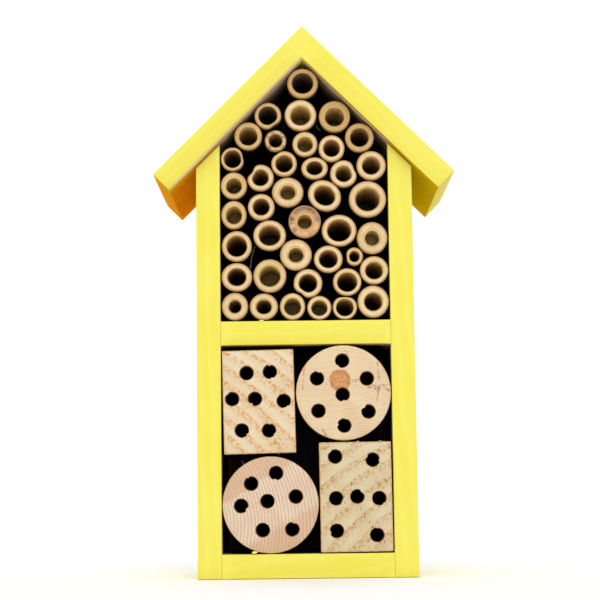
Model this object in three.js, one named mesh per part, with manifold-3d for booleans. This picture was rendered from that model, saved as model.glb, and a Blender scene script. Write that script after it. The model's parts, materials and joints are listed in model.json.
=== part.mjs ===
// Insect hotel: a small gabled house of planed timber, filled from the front with cut bamboo
// stems above a shelf and with four drilled wooden blocks below it. It stands on its base or
// hangs from a D-ring on its back. Millimetres, +Z up, front towards -Y, and the origin in the
// middle of the base.
import * as THREE from 'three';
import { mergeVertices } from 'three/addons/utils/BufferGeometryUtils.js';
import Module from 'manifold-3d';

const wasm = await Module();
wasm.setup();

// ---- Driving dimensions -----------------------------------------------------------------
const BOARD = 11.5;              // thickness of every timber board
const BODY_WIDTH = 104;          // across the outsides of the two side boards
const RIDGE_UNDERSIDE = 248.5;   // height where the undersides of the roof boards meet
const EAVE_LENGTH = 91;          // roof underside, from the ridge line to the eave
const ROOF_DEPTH = 86;           // front to back over the roof boards
const FRONT_OVERHANG = 4.5;      // the roof stands this far in front of the body
const PANEL = 5;                 // thickness of the back panel
const REAR_RECESS = 4.5;         // the back panel lies this far inside the rear edges
const SHELF_BASE = 110;          // underside of the shelf
const SLOPE = Math.PI / 4;       // both roof boards slope at 45 degrees
const JOINT_GAP = 0.3;           // left between pieces that touch on a slope or in a hole

const ROOF_FRONT = -ROOF_DEPTH / 2;
const ROOF_REAR = ROOF_DEPTH / 2;
const BODY_FRONT = ROOF_FRONT + FRONT_OVERHANG;
const BODY_REAR = ROOF_REAR;
const PANEL_REAR = BODY_REAR - REAR_RECESS;
const PANEL_FRONT = PANEL_REAR - PANEL;
const INNER_HALF = BODY_WIDTH / 2 - BOARD;
const WALL_TOP = RIDGE_UNDERSIDE - JOINT_GAP * Math.SQRT2;   // apex of the line the walls are cut to

// ---- Materials --------------------------------------------------------------------------
function material(colour, roughness, metalness) {
  return new THREE.MeshStandardMaterial({ color: colour, roughness, metalness });
}

const YELLOW_PAINT = material(0xf5eb5e, 0.55, 0);
const PLYWOOD = material(0xb58a55, 0.75, 0);
const BAMBOO = material(0xe6cd98, 0.6, 0);
const PINE = material(0xe8cfa6, 0.75, 0);
const ZINC = material(0xb9bcc0, 0.35, 1);

// ---- Helpers ----------------------------------------------------------------------------
function toSolid(geometry) {
  const bare = geometry.clone();
  bare.deleteAttribute('normal');
  bare.deleteAttribute('uv');
  const merged = mergeVertices(bare, 1e-4);
  return new wasm.Manifold(new wasm.Mesh({
    numProp: 3,
    vertProperties: merged.attributes.position.array,
    triVerts: new Uint32Array(merged.index.array),
  }));
}

function toGeometry(solid) {
  const mesh = solid.getMesh();
  const geometry = new THREE.BufferGeometry();
  geometry.setAttribute('position', new THREE.BufferAttribute(mesh.vertProperties, 3));
  geometry.setIndex(new THREE.BufferAttribute(mesh.triVerts, 1));
  const faceted = geometry.toNonIndexed();
  faceted.computeVertexNormals();
  return faceted;
}

function named(name, geometry, surface) {
  const mesh = new THREE.Mesh(geometry, surface);
  mesh.name = name;
  return mesh;
}

// An outline seen from the front, as [x, z] points, pushed back from y = 0 to y = depth.
function pushBack(outline, depth) {
  const shape = new THREE.Shape(outline.map(([x, z]) => new THREE.Vector2(x, z)));
  const geometry = new THREE.ExtrudeGeometry(shape, { depth, bevelEnabled: false });
  geometry.rotateX(Math.PI / 2);
  geometry.translate(0, depth, 0);
  return geometry;
}

// A profile of [radius, z] points turned round local Z, from its lower end to its upper end.
function turned(profile, sides) {
  const points = profile.map(([radius, z]) => new THREE.Vector2(radius, z));
  const geometry = new THREE.LatheGeometry(points, sides);
  geometry.rotateX(Math.PI / 2);
  return geometry;
}

// Cuts the shapes of other meshes out of a board, wherever both lie in the assembled group.
function cutOut(board, cutters) {
  const toBoard = board.matrixWorld.clone().invert();
  let solid = toSolid(board.geometry);
  for (const { geometry, mesh } of cutters) {
    const placed = geometry.clone();
    placed.applyMatrix4(mesh.matrixWorld);
    placed.applyMatrix4(toBoard);
    solid = solid.subtract(toSolid(placed));
  }
  board.geometry = toGeometry(solid);
}

// ---- Timber body ------------------------------------------------------------------------
// A side board is cut at the top to the slope of the roof. side is -1 on the left, 1 on the right.
function sideBoard(name, side) {
  const inner = side * INNER_HALF;
  const outer = side * BODY_WIDTH / 2;
  const outline = [
    [inner, 0],
    [outer, 0],
    [outer, WALL_TOP - BODY_WIDTH / 2],
    [inner, WALL_TOP - INNER_HALF],
  ];
  const board = named(name, pushBack(outline, BODY_REAR - BODY_FRONT), YELLOW_PAINT);
  board.position.y = BODY_FRONT;
  return board;
}

// The floor and the shelf are alike, and both stop at the back panel.
function crossBoard(name, base) {
  const depth = PANEL_FRONT - BODY_FRONT;
  const board = named(name, new THREE.BoxGeometry(2 * INNER_HALF, depth, BOARD), YELLOW_PAINT);
  board.position.set(0, BODY_FRONT + depth / 2, base + BOARD / 2);
  return board;
}

function backPanel() {
  const outline = [
    [-INNER_HALF, 0],
    [INNER_HALF, 0],
    [INNER_HALF, WALL_TOP - INNER_HALF],
    [0, WALL_TOP],
    [-INNER_HALF, WALL_TOP - INNER_HALF],
  ];
  const panel = named('back_panel', pushBack(outline, PANEL), PLYWOOD);
  panel.position.y = PANEL_FRONT;
  return panel;
}

// ---- Nails ------------------------------------------------------------------------------
const NAIL = { length: 22, shank: 0.7, head: 1.3, headDepth: 0.8, point: 2, sunk: 0.4, sides: 8 };

// A wire nail whose head is at the local origin and whose point is down local -Z.
function nailGeometry() {
  return turned([
    [0, -NAIL.length],
    [NAIL.shank, -NAIL.length + NAIL.point],
    [NAIL.shank, -NAIL.headDepth],
    [NAIL.head, -NAIL.headDepth / 2],
    [NAIL.head, 0],
    [0, 0],
  ], NAIL.sides);
}

// The hole that the nail sits in is open at the top, so that the sunken head shows.
function nailHoleGeometry() {
  const shank = NAIL.shank + JOINT_GAP;
  const head = NAIL.head + JOINT_GAP;
  return turned([
    [0, -NAIL.length - JOINT_GAP],
    [shank, -NAIL.length - JOINT_GAP],
    [shank, -NAIL.headDepth - JOINT_GAP],
    [head, -NAIL.headDepth - JOINT_GAP],
    [head, NAIL.sunk + 1],
    [0, NAIL.sunk + 1],
  ], NAIL.sides);
}

function nail(name, along, across) {
  const mesh = named(name, nailGeometry(), ZINC);
  mesh.position.set(along, across, BOARD - NAIL.sunk);
  return mesh;
}

// ---- Roof -------------------------------------------------------------------------------
// Each slope is a group turned to 45 degrees about the line where the undersides meet, so that
// local X runs along the slope and local Z stands out of it. The right board laps over the
// upper end of the left one and is nailed into it.
const WALL_NAIL_REACH = 70;      // ridge line to the nails that go into the top of a side board
const NAIL_ROWS = [BODY_FRONT + 18, BODY_REAR - 18];

function slope(turn) {
  const group = new THREE.Group();
  group.position.z = RIDGE_UNDERSIDE;
  group.rotation.y = turn;
  return group;
}

function roofBoard(name, start, end) {
  const board = named(name, new THREE.BoxGeometry(end - start, ROOF_DEPTH, BOARD), YELLOW_PAINT);
  board.position.set((start + end) / 2, 0, BOARD / 2);
  return board;
}

function leftSlope() {
  const group = slope(-SLOPE);
  group.add(roofBoard('left_roof_board', -EAVE_LENGTH, -JOINT_GAP));
  NAIL_ROWS.forEach((y, row) => group.add(nail(`left_roof_nail_${row + 1}`, -WALL_NAIL_REACH, y)));
  return group;
}

function rightSlope() {
  const group = slope(SLOPE);
  group.add(roofBoard('right_roof_board', -BOARD, EAVE_LENGTH));
  NAIL_ROWS.forEach((y, row) => group.add(nail(`right_roof_nail_${row + 1}`, WALL_NAIL_REACH, y)));
  NAIL_ROWS.forEach((y, row) => group.add(nail(`ridge_nail_${row + 1}`, -BOARD / 2, y)));
  return group;
}

// ---- Bamboo stems -----------------------------------------------------------------------
// Every stem is cut just behind a node, so its bore is open at the front and closed by the
// node's own wall at some depth. Sizes are across and up the cut end. lean turns an oval end,
// and a groove is where a side branch grew: facing is its direction in degrees from +X. The
// bore follows the groove only a little.
const STEM_SIDES = 18;
const BORE_GROOVE = 0.25;
const STEM_BACK = PANEL_FRONT - JOINT_GAP;

function stem(x, z, width, height, bore, depth, extra = {}) {
  return { x, z, width, height, bore, depth, lean: 0, ...extra };
}

const STEMS = [
  // under the ridge
  stem(0, 237.2, 15.2, 15.0, 10.0, 64),
  stem(-17.0, 221.5, 13.2, 13.2, 8.8, 64, { facing: -55, groove: 1.0, spread: 22 }),
  stem(-1.2, 221.5, 15.6, 15.4, 10.0, 30),
  stem(15.3, 220.8, 15.4, 15.6, 9.4, 34),
  // between the roof slopes
  stem(-26.6, 211.6, 13.6, 13.8, 9.0, 34),
  stem(-13.4, 209.0, 10.6, 10.6, 6.4, 60),
  stem(0.8, 207.3, 12.4, 12.4, 7.8, 20),
  stem(13.6, 205.0, 12.8, 13.2, 7.8, 40),
  stem(27.2, 210.3, 14.2, 14.4, 8.8, 58),
  // level with the tops of the walls
  stem(-34.2, 200.3, 11.6, 11.8, 8.2, 60, { facing: 12, groove: 0.7, spread: 30 }),
  stem(-9.4, 197.7, 12.6, 12.6, 8.2, 50, { facing: 125, groove: 0.4, spread: 20 }),
  stem(5.3, 195.4, 13.1, 11.0, 7.6, 62),
  stem(-20.9, 191.0, 13.2, 13.2, 7.8, 64, { facing: 146, groove: 1.8, spread: 27 }),
  stem(19.3, 192.6, 13.4, 13.4, 7.8, 56, { facing: 22, groove: 1.1, spread: 26 }),
  stem(32.6, 196.4, 14.4, 14.4, 8.6, 50),
  // upper middle
  stem(-33.7, 187.2, 12.9, 13.3, 7.8, 26),
  stem(-7.8, 183.8, 15.4, 14.7, 7.6, 16),
  stem(9.9, 181.9, 16.8, 14.6, 10.4, 60, { lean: -35 }),
  stem(30.6, 180.0, 18.2, 17.9, 11.7, 46),
  stem(-33.8, 173.0, 12.4, 14.0, 7.8, 22),
  stem(-20.6, 176.6, 13.1, 13.1, 7.8, 64),
  stem(0.2, 169.4, 15.8, 16.0, 7.2, 18),
  // lower middle
  stem(-16.7, 162.8, 15.9, 14.9, 10.4, 36),
  stem(16.7, 164.9, 17.0, 15.6, 11.4, 60),
  stem(32.5, 161.0, 14.9, 15.7, 7.2, 16),
  stem(-32.5, 157.7, 14.6, 15.0, 9.6, 62),
  stem(-4.2, 153.3, 15.5, 15.2, 7.4, 20),
  stem(11.3, 151.0, 14.0, 13.3, 8.8, 60),
  stem(23.8, 152.2, 8.6, 9.0, 4.9, 56, { facing: 185, groove: 0.5, spread: 25 }),
  stem(-32.6, 142.8, 15.0, 13.9, 8.8, 62),
  stem(-16.8, 143.2, 16.0, 16.2, 10.2, 30),
  stem(33.2, 145.4, 13.9, 13.8, 8.6, 64),
  stem(1.4, 139.4, 14.0, 14.0, 8.5, 60, { facing: -126, groove: 1.1, spread: 22 }),
  stem(20.2, 139.9, 13.9, 13.5, 9.5, 54),
  // standing on the shelf
  stem(-33.6, 128.7, 12.8, 13.4, 6.0, 50),
  stem(-19.8, 128.4, 13.7, 12.9, 7.4, 64),
  stem(-6.1, 128.4, 12.4, 13.0, 8.2, 26),
  stem(6.7, 127.6, 11.8, 11.6, 7.8, 28),
  stem(18.9, 127.8, 11.9, 12.1, 8.4, 64, { facing: 88, groove: 1.1, spread: 38 }),
  stem(32.5, 130.3, 15.2, 15.6, 8.6, 62),
];

// A closed outline round the stem: an oval, turned by its lean and dented by its groove.
function stemOutline(s, across, up, grooveShare) {
  return Array.from({ length: STEM_SIDES }, (_, i) => {
    const angle = THREE.MathUtils.degToRad(i * 360 / STEM_SIDES);
    const lean = THREE.MathUtils.degToRad(s.lean);
    const oval = Math.hypot(Math.cos(angle - lean) / across, Math.sin(angle - lean) / up);
    let dent = 0;
    if (s.groove) {
      const off = THREE.MathUtils.euclideanModulo(i * 360 / STEM_SIDES - s.facing + 180, 360) - 180;
      dent = grooveShare * s.groove * Math.exp(-((off / s.spread) ** 2));
    }
    const radius = 1 / oval / 2 - dent;
    return [radius * Math.cos(angle), radius * Math.sin(angle)];
  });
}

function bambooStem(s, index) {
  const setBack = 0.2 * (index * 3 % 5);
  const front = BODY_FRONT + setBack;
  const outside = pushBack(stemOutline(s, s.width, s.height, 1), STEM_BACK - front);
  const boreHeight = s.bore * s.height / s.width;
  const bore = pushBack(stemOutline(s, s.bore, boreHeight, BORE_GROOVE), s.depth + 1);
  bore.translate(0, -1, 0);
  const hollow = toGeometry(toSolid(outside).subtract(toSolid(bore)));
  const name = `bamboo_stem_${String(index + 1).padStart(2, '0')}`;
  const mesh = named(name, hollow, BAMBOO);
  mesh.position.set(s.x, front, s.z);
  return mesh;
}

// ---- Drilled blocks ---------------------------------------------------------------------
const HOLE = { radius: 3.2, depth: 60, sides: 14 };
const BLOCK_BACK = PANEL_FRONT - JOINT_GAP;
const DISC_SIDES = 48;

function squareBlank(width, height) {
  const [w, h] = [width / 2, height / 2];
  return [[-w, -h], [w, -h], [w, h], [-w, h]];
}

function roundBlank(diameter) {
  return Array.from({ length: DISC_SIDES }, (_, i) => {
    const angle = i * 2 * Math.PI / DISC_SIDES;
    return [diameter / 2 * Math.cos(angle), diameter / 2 * Math.sin(angle)];
  });
}

// holes are the [x, z] centres of the blind holes, from the middle of the block's face.
const BLOCKS = [
  {
    name: 'square_block_upper', x: -22.6, z: 83.1, tilt: 1, blank: squareBlank(34.2, 49.2),
    holes: [[-5.5, 13.7], [5.6, 14.0], [-12.6, 1.6], [-1.8, 1.4], [11.8, 0], [-8.4, -13.4], [4.4, -13.7]],
  },
  {
    name: 'round_block_upper', x: 17.6, z: 86.9, tilt: 0, blank: roundBlank(45.2),
    holes: [[-0.4, 15.2], [-12.5, 6.9], [11.2, 6.6], [-0.4, -0.9], [-12.0, -8.5], [11.7, -9.1], [0.1, -15.6]],
  },
  {
    name: 'round_block_lower', x: -17.5, z: 34.5, tilt: 0, blank: roundBlank(45.4),
    holes: [[2.7, 14.8], [-9.1, 10.0], [11.9, 3.7], [-1.5, 1.7], [-13.9, -0.4], [-3.8, -11.8], [10.1, -11.6]],
  },
  {
    name: 'square_block_lower', x: 22.8, z: 37.8, tilt: 0.4, blank: squareBlank(34.2, 51.6),
    holes: [[-9.5, 19.0], [8.2, 17.2], [-9.4, -0.6], [0.6, 0.1], [10.9, -0.9], [-9.4, -15.8], [9.5, -18.0]],
  },
];

function drilledBlock({ name, x, z, tilt, blank, holes }) {
  let solid = toSolid(pushBack(blank, BLOCK_BACK - BODY_FRONT));
  for (const [holeX, holeZ] of holes) {
    const drill = new THREE.CylinderGeometry(HOLE.radius, HOLE.radius, HOLE.depth + 1, HOLE.sides);
    drill.translate(holeX, (HOLE.depth - 1) / 2, holeZ);
    solid = solid.subtract(toSolid(drill));
  }
  const block = named(name, toGeometry(solid), PINE);
  block.position.set(x, BODY_FRONT, z);
  block.rotation.y = -THREE.MathUtils.degToRad(tilt);
  return block;
}

// ---- Hanger on the back -----------------------------------------------------------------
// A strap folded round the straight bar of a wire D-ring, held to the panel by one screw. The
// ring hangs down over the strap, clear of the screw, and swings up to go on a nail.
const HANGER_HEIGHT = 226;       // the ring's axis above the base
const STRAP = { width: 9, thickness: 0.7, drop: 24, eye: 1.1, eyeWall: 0.7 };
const RING = { wire: 0.8, halfWidth: 8.5, corner: 1.6, sideLength: 5, seam: 0.2, steps: 44 };
const SCREW = { shank: 1.3, length: 4.6, head: 2.8, headHeight: 1.5, point: 1, drop: 19, sides: 16 };
const EYE_OUTER = STRAP.eye + STRAP.eyeWall;

// The strap's side view, drawn with local x out of the panel and y up, from the ring's axis.
function strapGeometry() {
  const back = -EYE_OUTER;
  const face = back + STRAP.thickness;
  const meet = -Math.sqrt(EYE_OUTER ** 2 - face ** 2);
  const shape = new THREE.Shape();
  shape.moveTo(back, -STRAP.drop);
  shape.lineTo(face, -STRAP.drop);
  shape.lineTo(face, meet);
  shape.absarc(0, 0, EYE_OUTER, Math.atan2(meet, face), Math.PI, false);
  const eye = new THREE.Path();
  eye.absarc(0, 0, STRAP.eye, 0, 2 * Math.PI, true);
  shape.holes.push(eye);
  const options = { depth: STRAP.width, bevelEnabled: false, curveSegments: 8 };
  const geometry = new THREE.ExtrudeGeometry(shape, options);
  geometry.translate(0, 0, -STRAP.width / 2);
  const sideways = new THREE.Matrix4().makeBasis(
    new THREE.Vector3(0, 1, 0),
    new THREE.Vector3(0, 0, 1),
    new THREE.Vector3(1, 0, 0),
  );
  geometry.applyMatrix4(sideways);
  return geometry;
}

// One length of wire bent to a D, with its two ends meeting inside the strap's eye.
function ringGeometry() {
  const { wire, halfWidth, corner, sideLength, seam, steps } = RING;
  const outline = new THREE.Path();
  outline.moveTo(seam, 0);
  outline.lineTo(halfWidth - corner, 0);
  outline.absarc(halfWidth - corner, -corner, corner, Math.PI / 2, 0, true);
  outline.lineTo(halfWidth, -sideLength);
  outline.absarc(0, -sideLength, halfWidth, 0, Math.PI, true);
  outline.lineTo(-halfWidth, -corner);
  outline.absarc(corner - halfWidth, -corner, corner, Math.PI, Math.PI / 2, true);
  outline.lineTo(-seam, 0);
  const points = outline.getSpacedPoints(steps).map((p) => new THREE.Vector3(p.x, 0, p.y));
  const route = new THREE.CatmullRomCurve3(points);
  const section = new THREE.Shape();
  section.absarc(0, 0, wire, 0, 2 * Math.PI, false);
  const options = { steps, extrudePath: route, curveSegments: 4, bevelEnabled: false };
  return new THREE.ExtrudeGeometry(section, options);
}

function screwGeometry() {
  return turned([
    [0, -SCREW.length],
    [SCREW.shank, -SCREW.length + SCREW.point],
    [SCREW.shank, 0],
    [SCREW.head, 0],
    [SCREW.head, SCREW.headHeight * 0.6],
    [SCREW.head * 0.6, SCREW.headHeight],
    [0, SCREW.headHeight],
  ], SCREW.sides);
}

// The hole runs right through the strap and the panel, as the screw's point nearly does.
function screwHoleGeometry() {
  const radius = SCREW.shank + JOINT_GAP;
  return turned([
    [0, -PANEL - 1],
    [radius, -PANEL - 1],
    [radius, 1],
    [0, 1],
  ], SCREW.sides);
}

function hanger() {
  const group = new THREE.Group();
  group.position.set(0, PANEL_REAR + EYE_OUTER, HANGER_HEIGHT);
  const screw = named('hanger_screw', screwGeometry(), ZINC);
  screw.position.set(0, STRAP.thickness + JOINT_GAP - EYE_OUTER, -SCREW.drop);
  screw.rotation.x = -Math.PI / 2;
  group.add(named('hanger_strap', strapGeometry(), ZINC));
  group.add(named('hanger_ring', ringGeometry(), ZINC));
  group.add(screw);
  return group;
}

// ---- Assembly ---------------------------------------------------------------------------
const hotel = new THREE.Group();
hotel.add(sideBoard('left_side_board', -1));
hotel.add(sideBoard('right_side_board', 1));
hotel.add(crossBoard('floor_board', 0));
hotel.add(crossBoard('shelf', SHELF_BASE));
hotel.add(backPanel());
hotel.add(leftSlope());
hotel.add(rightSlope());
STEMS.forEach((s, index) => hotel.add(bambooStem(s, index)));
BLOCKS.forEach((block) => hotel.add(drilledBlock(block)));
hotel.add(hanger());
hotel.updateMatrixWorld(true);

// Every nail and screw sits in a hole in each board that it passes through.
const piece = (name) => hotel.getObjectByName(name);
const nailHole = (name) => ({ geometry: nailHoleGeometry(), mesh: piece(name) });
const screwHole = { geometry: screwHoleGeometry(), mesh: piece('hanger_screw') };
const leftNails = ['left_roof_nail_1', 'left_roof_nail_2'].map(nailHole);
const rightNails = ['right_roof_nail_1', 'right_roof_nail_2'].map(nailHole);
const ridgeNails = ['ridge_nail_1', 'ridge_nail_2'].map(nailHole);
cutOut(piece('left_roof_board'), [...leftNails, ...ridgeNails]);
cutOut(piece('right_roof_board'), [...rightNails, ...ridgeNails]);
cutOut(piece('left_side_board'), leftNails);
cutOut(piece('right_side_board'), rightNails);
cutOut(piece('back_panel'), [screwHole]);
cutOut(piece('hanger_strap'), [screwHole]);

export default hotel;
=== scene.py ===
# %% [markdown]
# # An insect hotel
# A small house of painted boards holds sawn bamboo stems and drilled wooden blocks, where
# solitary bees nest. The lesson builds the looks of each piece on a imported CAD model, which
# says where every piece is. Nothing is measured twice: each mesh starts from the CAD solid
# that it replaces, so it fits its neighbours without any trying.

# %% Load the frame
import json
import math
import random
from functools import partial

import bmesh
import bpy
import numpy as np
from mathutils import Euler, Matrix, Quaternion, Vector, noise


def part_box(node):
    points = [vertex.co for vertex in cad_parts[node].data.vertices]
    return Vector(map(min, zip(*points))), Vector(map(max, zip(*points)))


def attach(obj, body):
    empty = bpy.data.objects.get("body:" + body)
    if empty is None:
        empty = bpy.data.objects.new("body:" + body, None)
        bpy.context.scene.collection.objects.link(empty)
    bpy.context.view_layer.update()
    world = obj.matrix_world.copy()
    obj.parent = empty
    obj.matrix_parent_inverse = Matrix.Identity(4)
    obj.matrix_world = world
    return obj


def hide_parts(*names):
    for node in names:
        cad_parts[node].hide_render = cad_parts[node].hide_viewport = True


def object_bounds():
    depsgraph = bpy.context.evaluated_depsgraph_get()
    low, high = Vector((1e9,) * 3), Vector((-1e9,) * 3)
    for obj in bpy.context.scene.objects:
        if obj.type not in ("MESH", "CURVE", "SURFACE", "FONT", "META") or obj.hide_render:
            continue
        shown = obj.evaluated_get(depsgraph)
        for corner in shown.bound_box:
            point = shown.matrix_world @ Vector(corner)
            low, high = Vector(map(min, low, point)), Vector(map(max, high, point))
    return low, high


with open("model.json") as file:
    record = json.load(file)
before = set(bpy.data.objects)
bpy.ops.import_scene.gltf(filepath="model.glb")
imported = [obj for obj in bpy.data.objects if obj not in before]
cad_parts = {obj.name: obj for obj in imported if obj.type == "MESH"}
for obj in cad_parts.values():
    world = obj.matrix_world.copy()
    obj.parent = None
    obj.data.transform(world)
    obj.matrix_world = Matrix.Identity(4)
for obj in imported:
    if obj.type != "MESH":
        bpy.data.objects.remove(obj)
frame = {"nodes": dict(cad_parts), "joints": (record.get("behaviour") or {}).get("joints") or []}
cad_low, cad_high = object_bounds()
print("CAD box in mm:", [round(1000 * v) for v in cad_high - cad_low])

# %% [markdown]
# ## Units, bodies and chance
# Blender counts in metres and a joiner in millimetres, so lengths are written as a number
# times MM. Only the hanging ring moves: everything else is nailed or glued into one body.
# Wood is never twice the same, so many small choices are drawn by chance, from generators
# with fixed seeds, which makes every run give the same house.

# %% Units and bodies
MM = 0.001
HOUSE = "house"
RING = "ring"
HINGE = Vector(frame["joints"][0]["pos_m"])
print("the ring swings about", [round(v / MM, 1) for v in HINGE])


def srgb(red, green, blue):
    """A colour as a paint chart gives it, 0 to 255, in Blender's linear values."""
    linear = [c / 255 / 12.92 if c <= 10 else ((c / 255 + 0.055) / 1.055) ** 2.4
              for c in (red, green, blue)]
    return (*linear, 1.0)


# %% [markdown]
# ## Camera
# The camera stands low, level with the bottom row of drilled holes, and looks up by seven
# degrees, so the undersides of the eaves show. A long lens from three quarters of a metre
# keeps the boards nearly parallel. It is made first, because everything else is judged
# through it.

# %% Camera
CAMERA_DISTANCE = 770 * MM
CAMERA_HEIGHT = 39 * MM
CAMERA_SIDE = -2.5 * MM
CAMERA_PITCH = math.radians(6.8)
CAMERA_ROLL = math.radians(0.7)
LENS = 98

camera_data = bpy.data.cameras.new("camera")
camera_data.lens = LENS
camera_data.sensor_width = 36
camera = bpy.data.objects.new("camera", camera_data)
bpy.context.scene.collection.objects.link(camera)
camera.location = (CAMERA_SIDE, cad_low.y - CAMERA_DISTANCE, CAMERA_HEIGHT)
camera.rotation_mode = "QUATERNION"
looking_up = Euler((math.pi / 2 + CAMERA_PITCH, 0, 0)).to_quaternion()
camera.rotation_quaternion = looking_up @ Quaternion((0, 0, 1), -CAMERA_ROLL)
bpy.context.scene.camera = camera
print("camera", round(CAMERA_DISTANCE / MM), "mm in front of the roof")

# %% [markdown]
# ## Node helpers
# A material is a small program of nodes. Written out in full it is long, so two helpers keep
# it readable: one adds a node and fills its sockets, and one makes a group with named sockets.
# A value that is itself a socket is linked, and any other value is typed into the socket.

# %% Node helpers
def add(tree, kind, values=None, **settings):
    """Adds a node, applies its settings, and links or sets its input sockets."""
    made = tree.nodes.new(kind)
    for setting, value in settings.items():
        setattr(made, setting, value)
    for socket, value in (values or {}).items():
        if isinstance(value, bpy.types.NodeSocket):
            tree.links.new(value, made.inputs[socket])
        else:
            made.inputs[socket].default_value = value
    return made


def calc(tree, operation, *values, clamp=False):
    """One sum: the output of a Math node."""
    return add(tree, "ShaderNodeMath", dict(enumerate(values)),
               operation=operation, use_clamp=clamp).outputs[0]


def vector_calc(tree, operation, *values, output="Vector"):
    """One sum on vectors: the output of a Vector Math node."""
    values = dict(enumerate(values))
    if operation == "SCALE":
        values["Scale"] = values.pop(1)
    return add(tree, "ShaderNodeVectorMath", values, operation=operation).outputs[output]


def step(tree, value, low, high, start=0.0, end=1.0):
    """A soft step: start below low, end above high, and an even curve between them."""
    values = {"Value": value, "From Min": low, "From Max": high, "To Min": start, "To Max": end}
    made = add(tree, "ShaderNodeMapRange", values, interpolation_type="SMOOTHSTEP")
    return made.outputs["Result"]


def mix(tree, factor, first, second):
    """Mixes two colours by a factor from 0 to 1."""
    values = {0: factor, 6: first, 7: second}
    return add(tree, "ShaderNodeMix", values, data_type="RGBA", clamp_factor=True).outputs[2]


def mix_value(tree, factor, first, second):
    """Mixes two plain values by a factor from 0 to 1."""
    return add(tree, "ShaderNodeMix", {0: factor, 2: first, 3: second}, data_type="FLOAT").outputs[0]


def speckle(tree, vector, scale, detail=2.0, roughness=0.5):
    """Plain noise round 0.5; scale counts its lumps per metre."""
    values = {"Vector": vector, "Scale": scale, "Detail": detail, "Roughness": roughness}
    return add(tree, "ShaderNodeTexNoise", values).outputs["Fac"]


def attribute(tree, name, output="Fac"):
    """A value that the mesh carries at its vertices."""
    return add(tree, "ShaderNodeAttribute", attribute_name=name).outputs[output]


def start_group(name, inputs, outputs):
    """An empty node group. Its sockets are named and typed before it is filled."""
    tree = bpy.data.node_groups.new(name, "ShaderNodeTree")
    for socket, value in inputs.items():
        kind = "NodeSocketVector" if isinstance(value, tuple) else "NodeSocketFloat"
        made = tree.interface.new_socket(socket, in_out="INPUT", socket_type=kind)
        made.default_value = value
    for socket in outputs:
        tree.interface.new_socket(socket, in_out="OUTPUT", socket_type="NodeSocketFloat")
    entry = tree.nodes.new("NodeGroupInput")
    print("group", name, "takes", list(inputs), "and gives", list(outputs))
    return tree, entry.outputs


def end_group(tree, results):
    """Links what the group worked out to its outputs."""
    add(tree, "NodeGroupOutput", results)


def place(tree, name, values):
    """Places a node group in a material and returns its outputs."""
    return add(tree, "ShaderNodeGroup", values, node_tree=bpy.data.node_groups[name]).outputs


# %% [markdown]
# ## Growth rings
# Every piece of wood here shows growth rings: as stripes on a planed face, and as arcs on a
# sawn end. A picture of wood can't do both, but rings are a solid pattern, so the group works
# in three dimensions. It measures how far a point lies from the pith, the middle of the tree,
# and each ring width it starts a new ring: pale early wood that darkens slowly to late wood
# and then stops at once. The mesh carries the coordinates, with the first one along the trunk.

# %% Group: growth rings
tree, given = start_group(
    "growth rings",
    {"Vector": (0, 0, 0), "Pith": (0, 0, 0), "Ring Width": 0.004, "Wander": 0.003, "Sharpness": 0.5},
    ["Late Wood", "Ring Number"])
bend = add(tree, "ShaderNodeTexNoise", {"Vector": given["Vector"], "Scale": 28.0, "Detail": 2.0})
bend = vector_calc(tree, "SUBTRACT", bend.outputs["Color"], (0.5, 0.5, 0.5))
bend = vector_calc(tree, "SCALE", bend, given["Wander"])
here = vector_calc(tree, "ADD", given["Vector"], bend)
here = vector_calc(tree, "SUBTRACT", here, given["Pith"])
across = vector_calc(tree, "MULTIPLY", here, (0.06, 1, 1))
radius = vector_calc(tree, "LENGTH", across, output="Value")
rings = calc(tree, "DIVIDE", radius, given["Ring Width"])
part = calc(tree, "FRACT", rings)
darker = step(tree, part, calc(tree, "MULTIPLY", given["Sharpness"], 0.7), 0.9)
stop = step(tree, part, 0.93, 1.0, 1.0, 0.0)
end_group(tree, {"Late Wood": calc(tree, "MULTIPLY", darker, stop),
                 "Ring Number": calc(tree, "FLOOR", rings)})

# %% [markdown]
# ## Fibres
# Between the rings run the fibres, thousands of them, all along the trunk. Noise that is
# squeezed across the trunk and stretched along it gives fine streaks on a face, and on a
# sawn end, where each fibre is cut through, the same noise shows as dots. That is why one
# group serves both.

# %% Group: fibres
tree, given = start_group(
    "fibres", {"Vector": (0, 0, 0), "Fineness": 1200.0, "Stretch": 0.02}, ["Streak", "Fine Streak"])
shape = add(tree, "ShaderNodeCombineXYZ", {"X": given["Stretch"], "Y": 1.0, "Z": 1.0})
squeezed = vector_calc(tree, "MULTIPLY", given["Vector"], shape.outputs[0])
finer = calc(tree, "MULTIPLY", given["Fineness"], 2.7)
end_group(tree, {"Streak": speckle(tree, squeezed, given["Fineness"], 3.0, 0.6),
                 "Fine Streak": speckle(tree, squeezed, finer, 2.0, 0.7)})

# %% [markdown]
# ## Saw marks
# A circular saw leaves shallow lines where its teeth went through, all one way and nearly
# evenly spaced, but of different depths. A wave across the direction of the lines gives the
# spacing, and slow noise along them makes some deep and lets others fade out.

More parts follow.
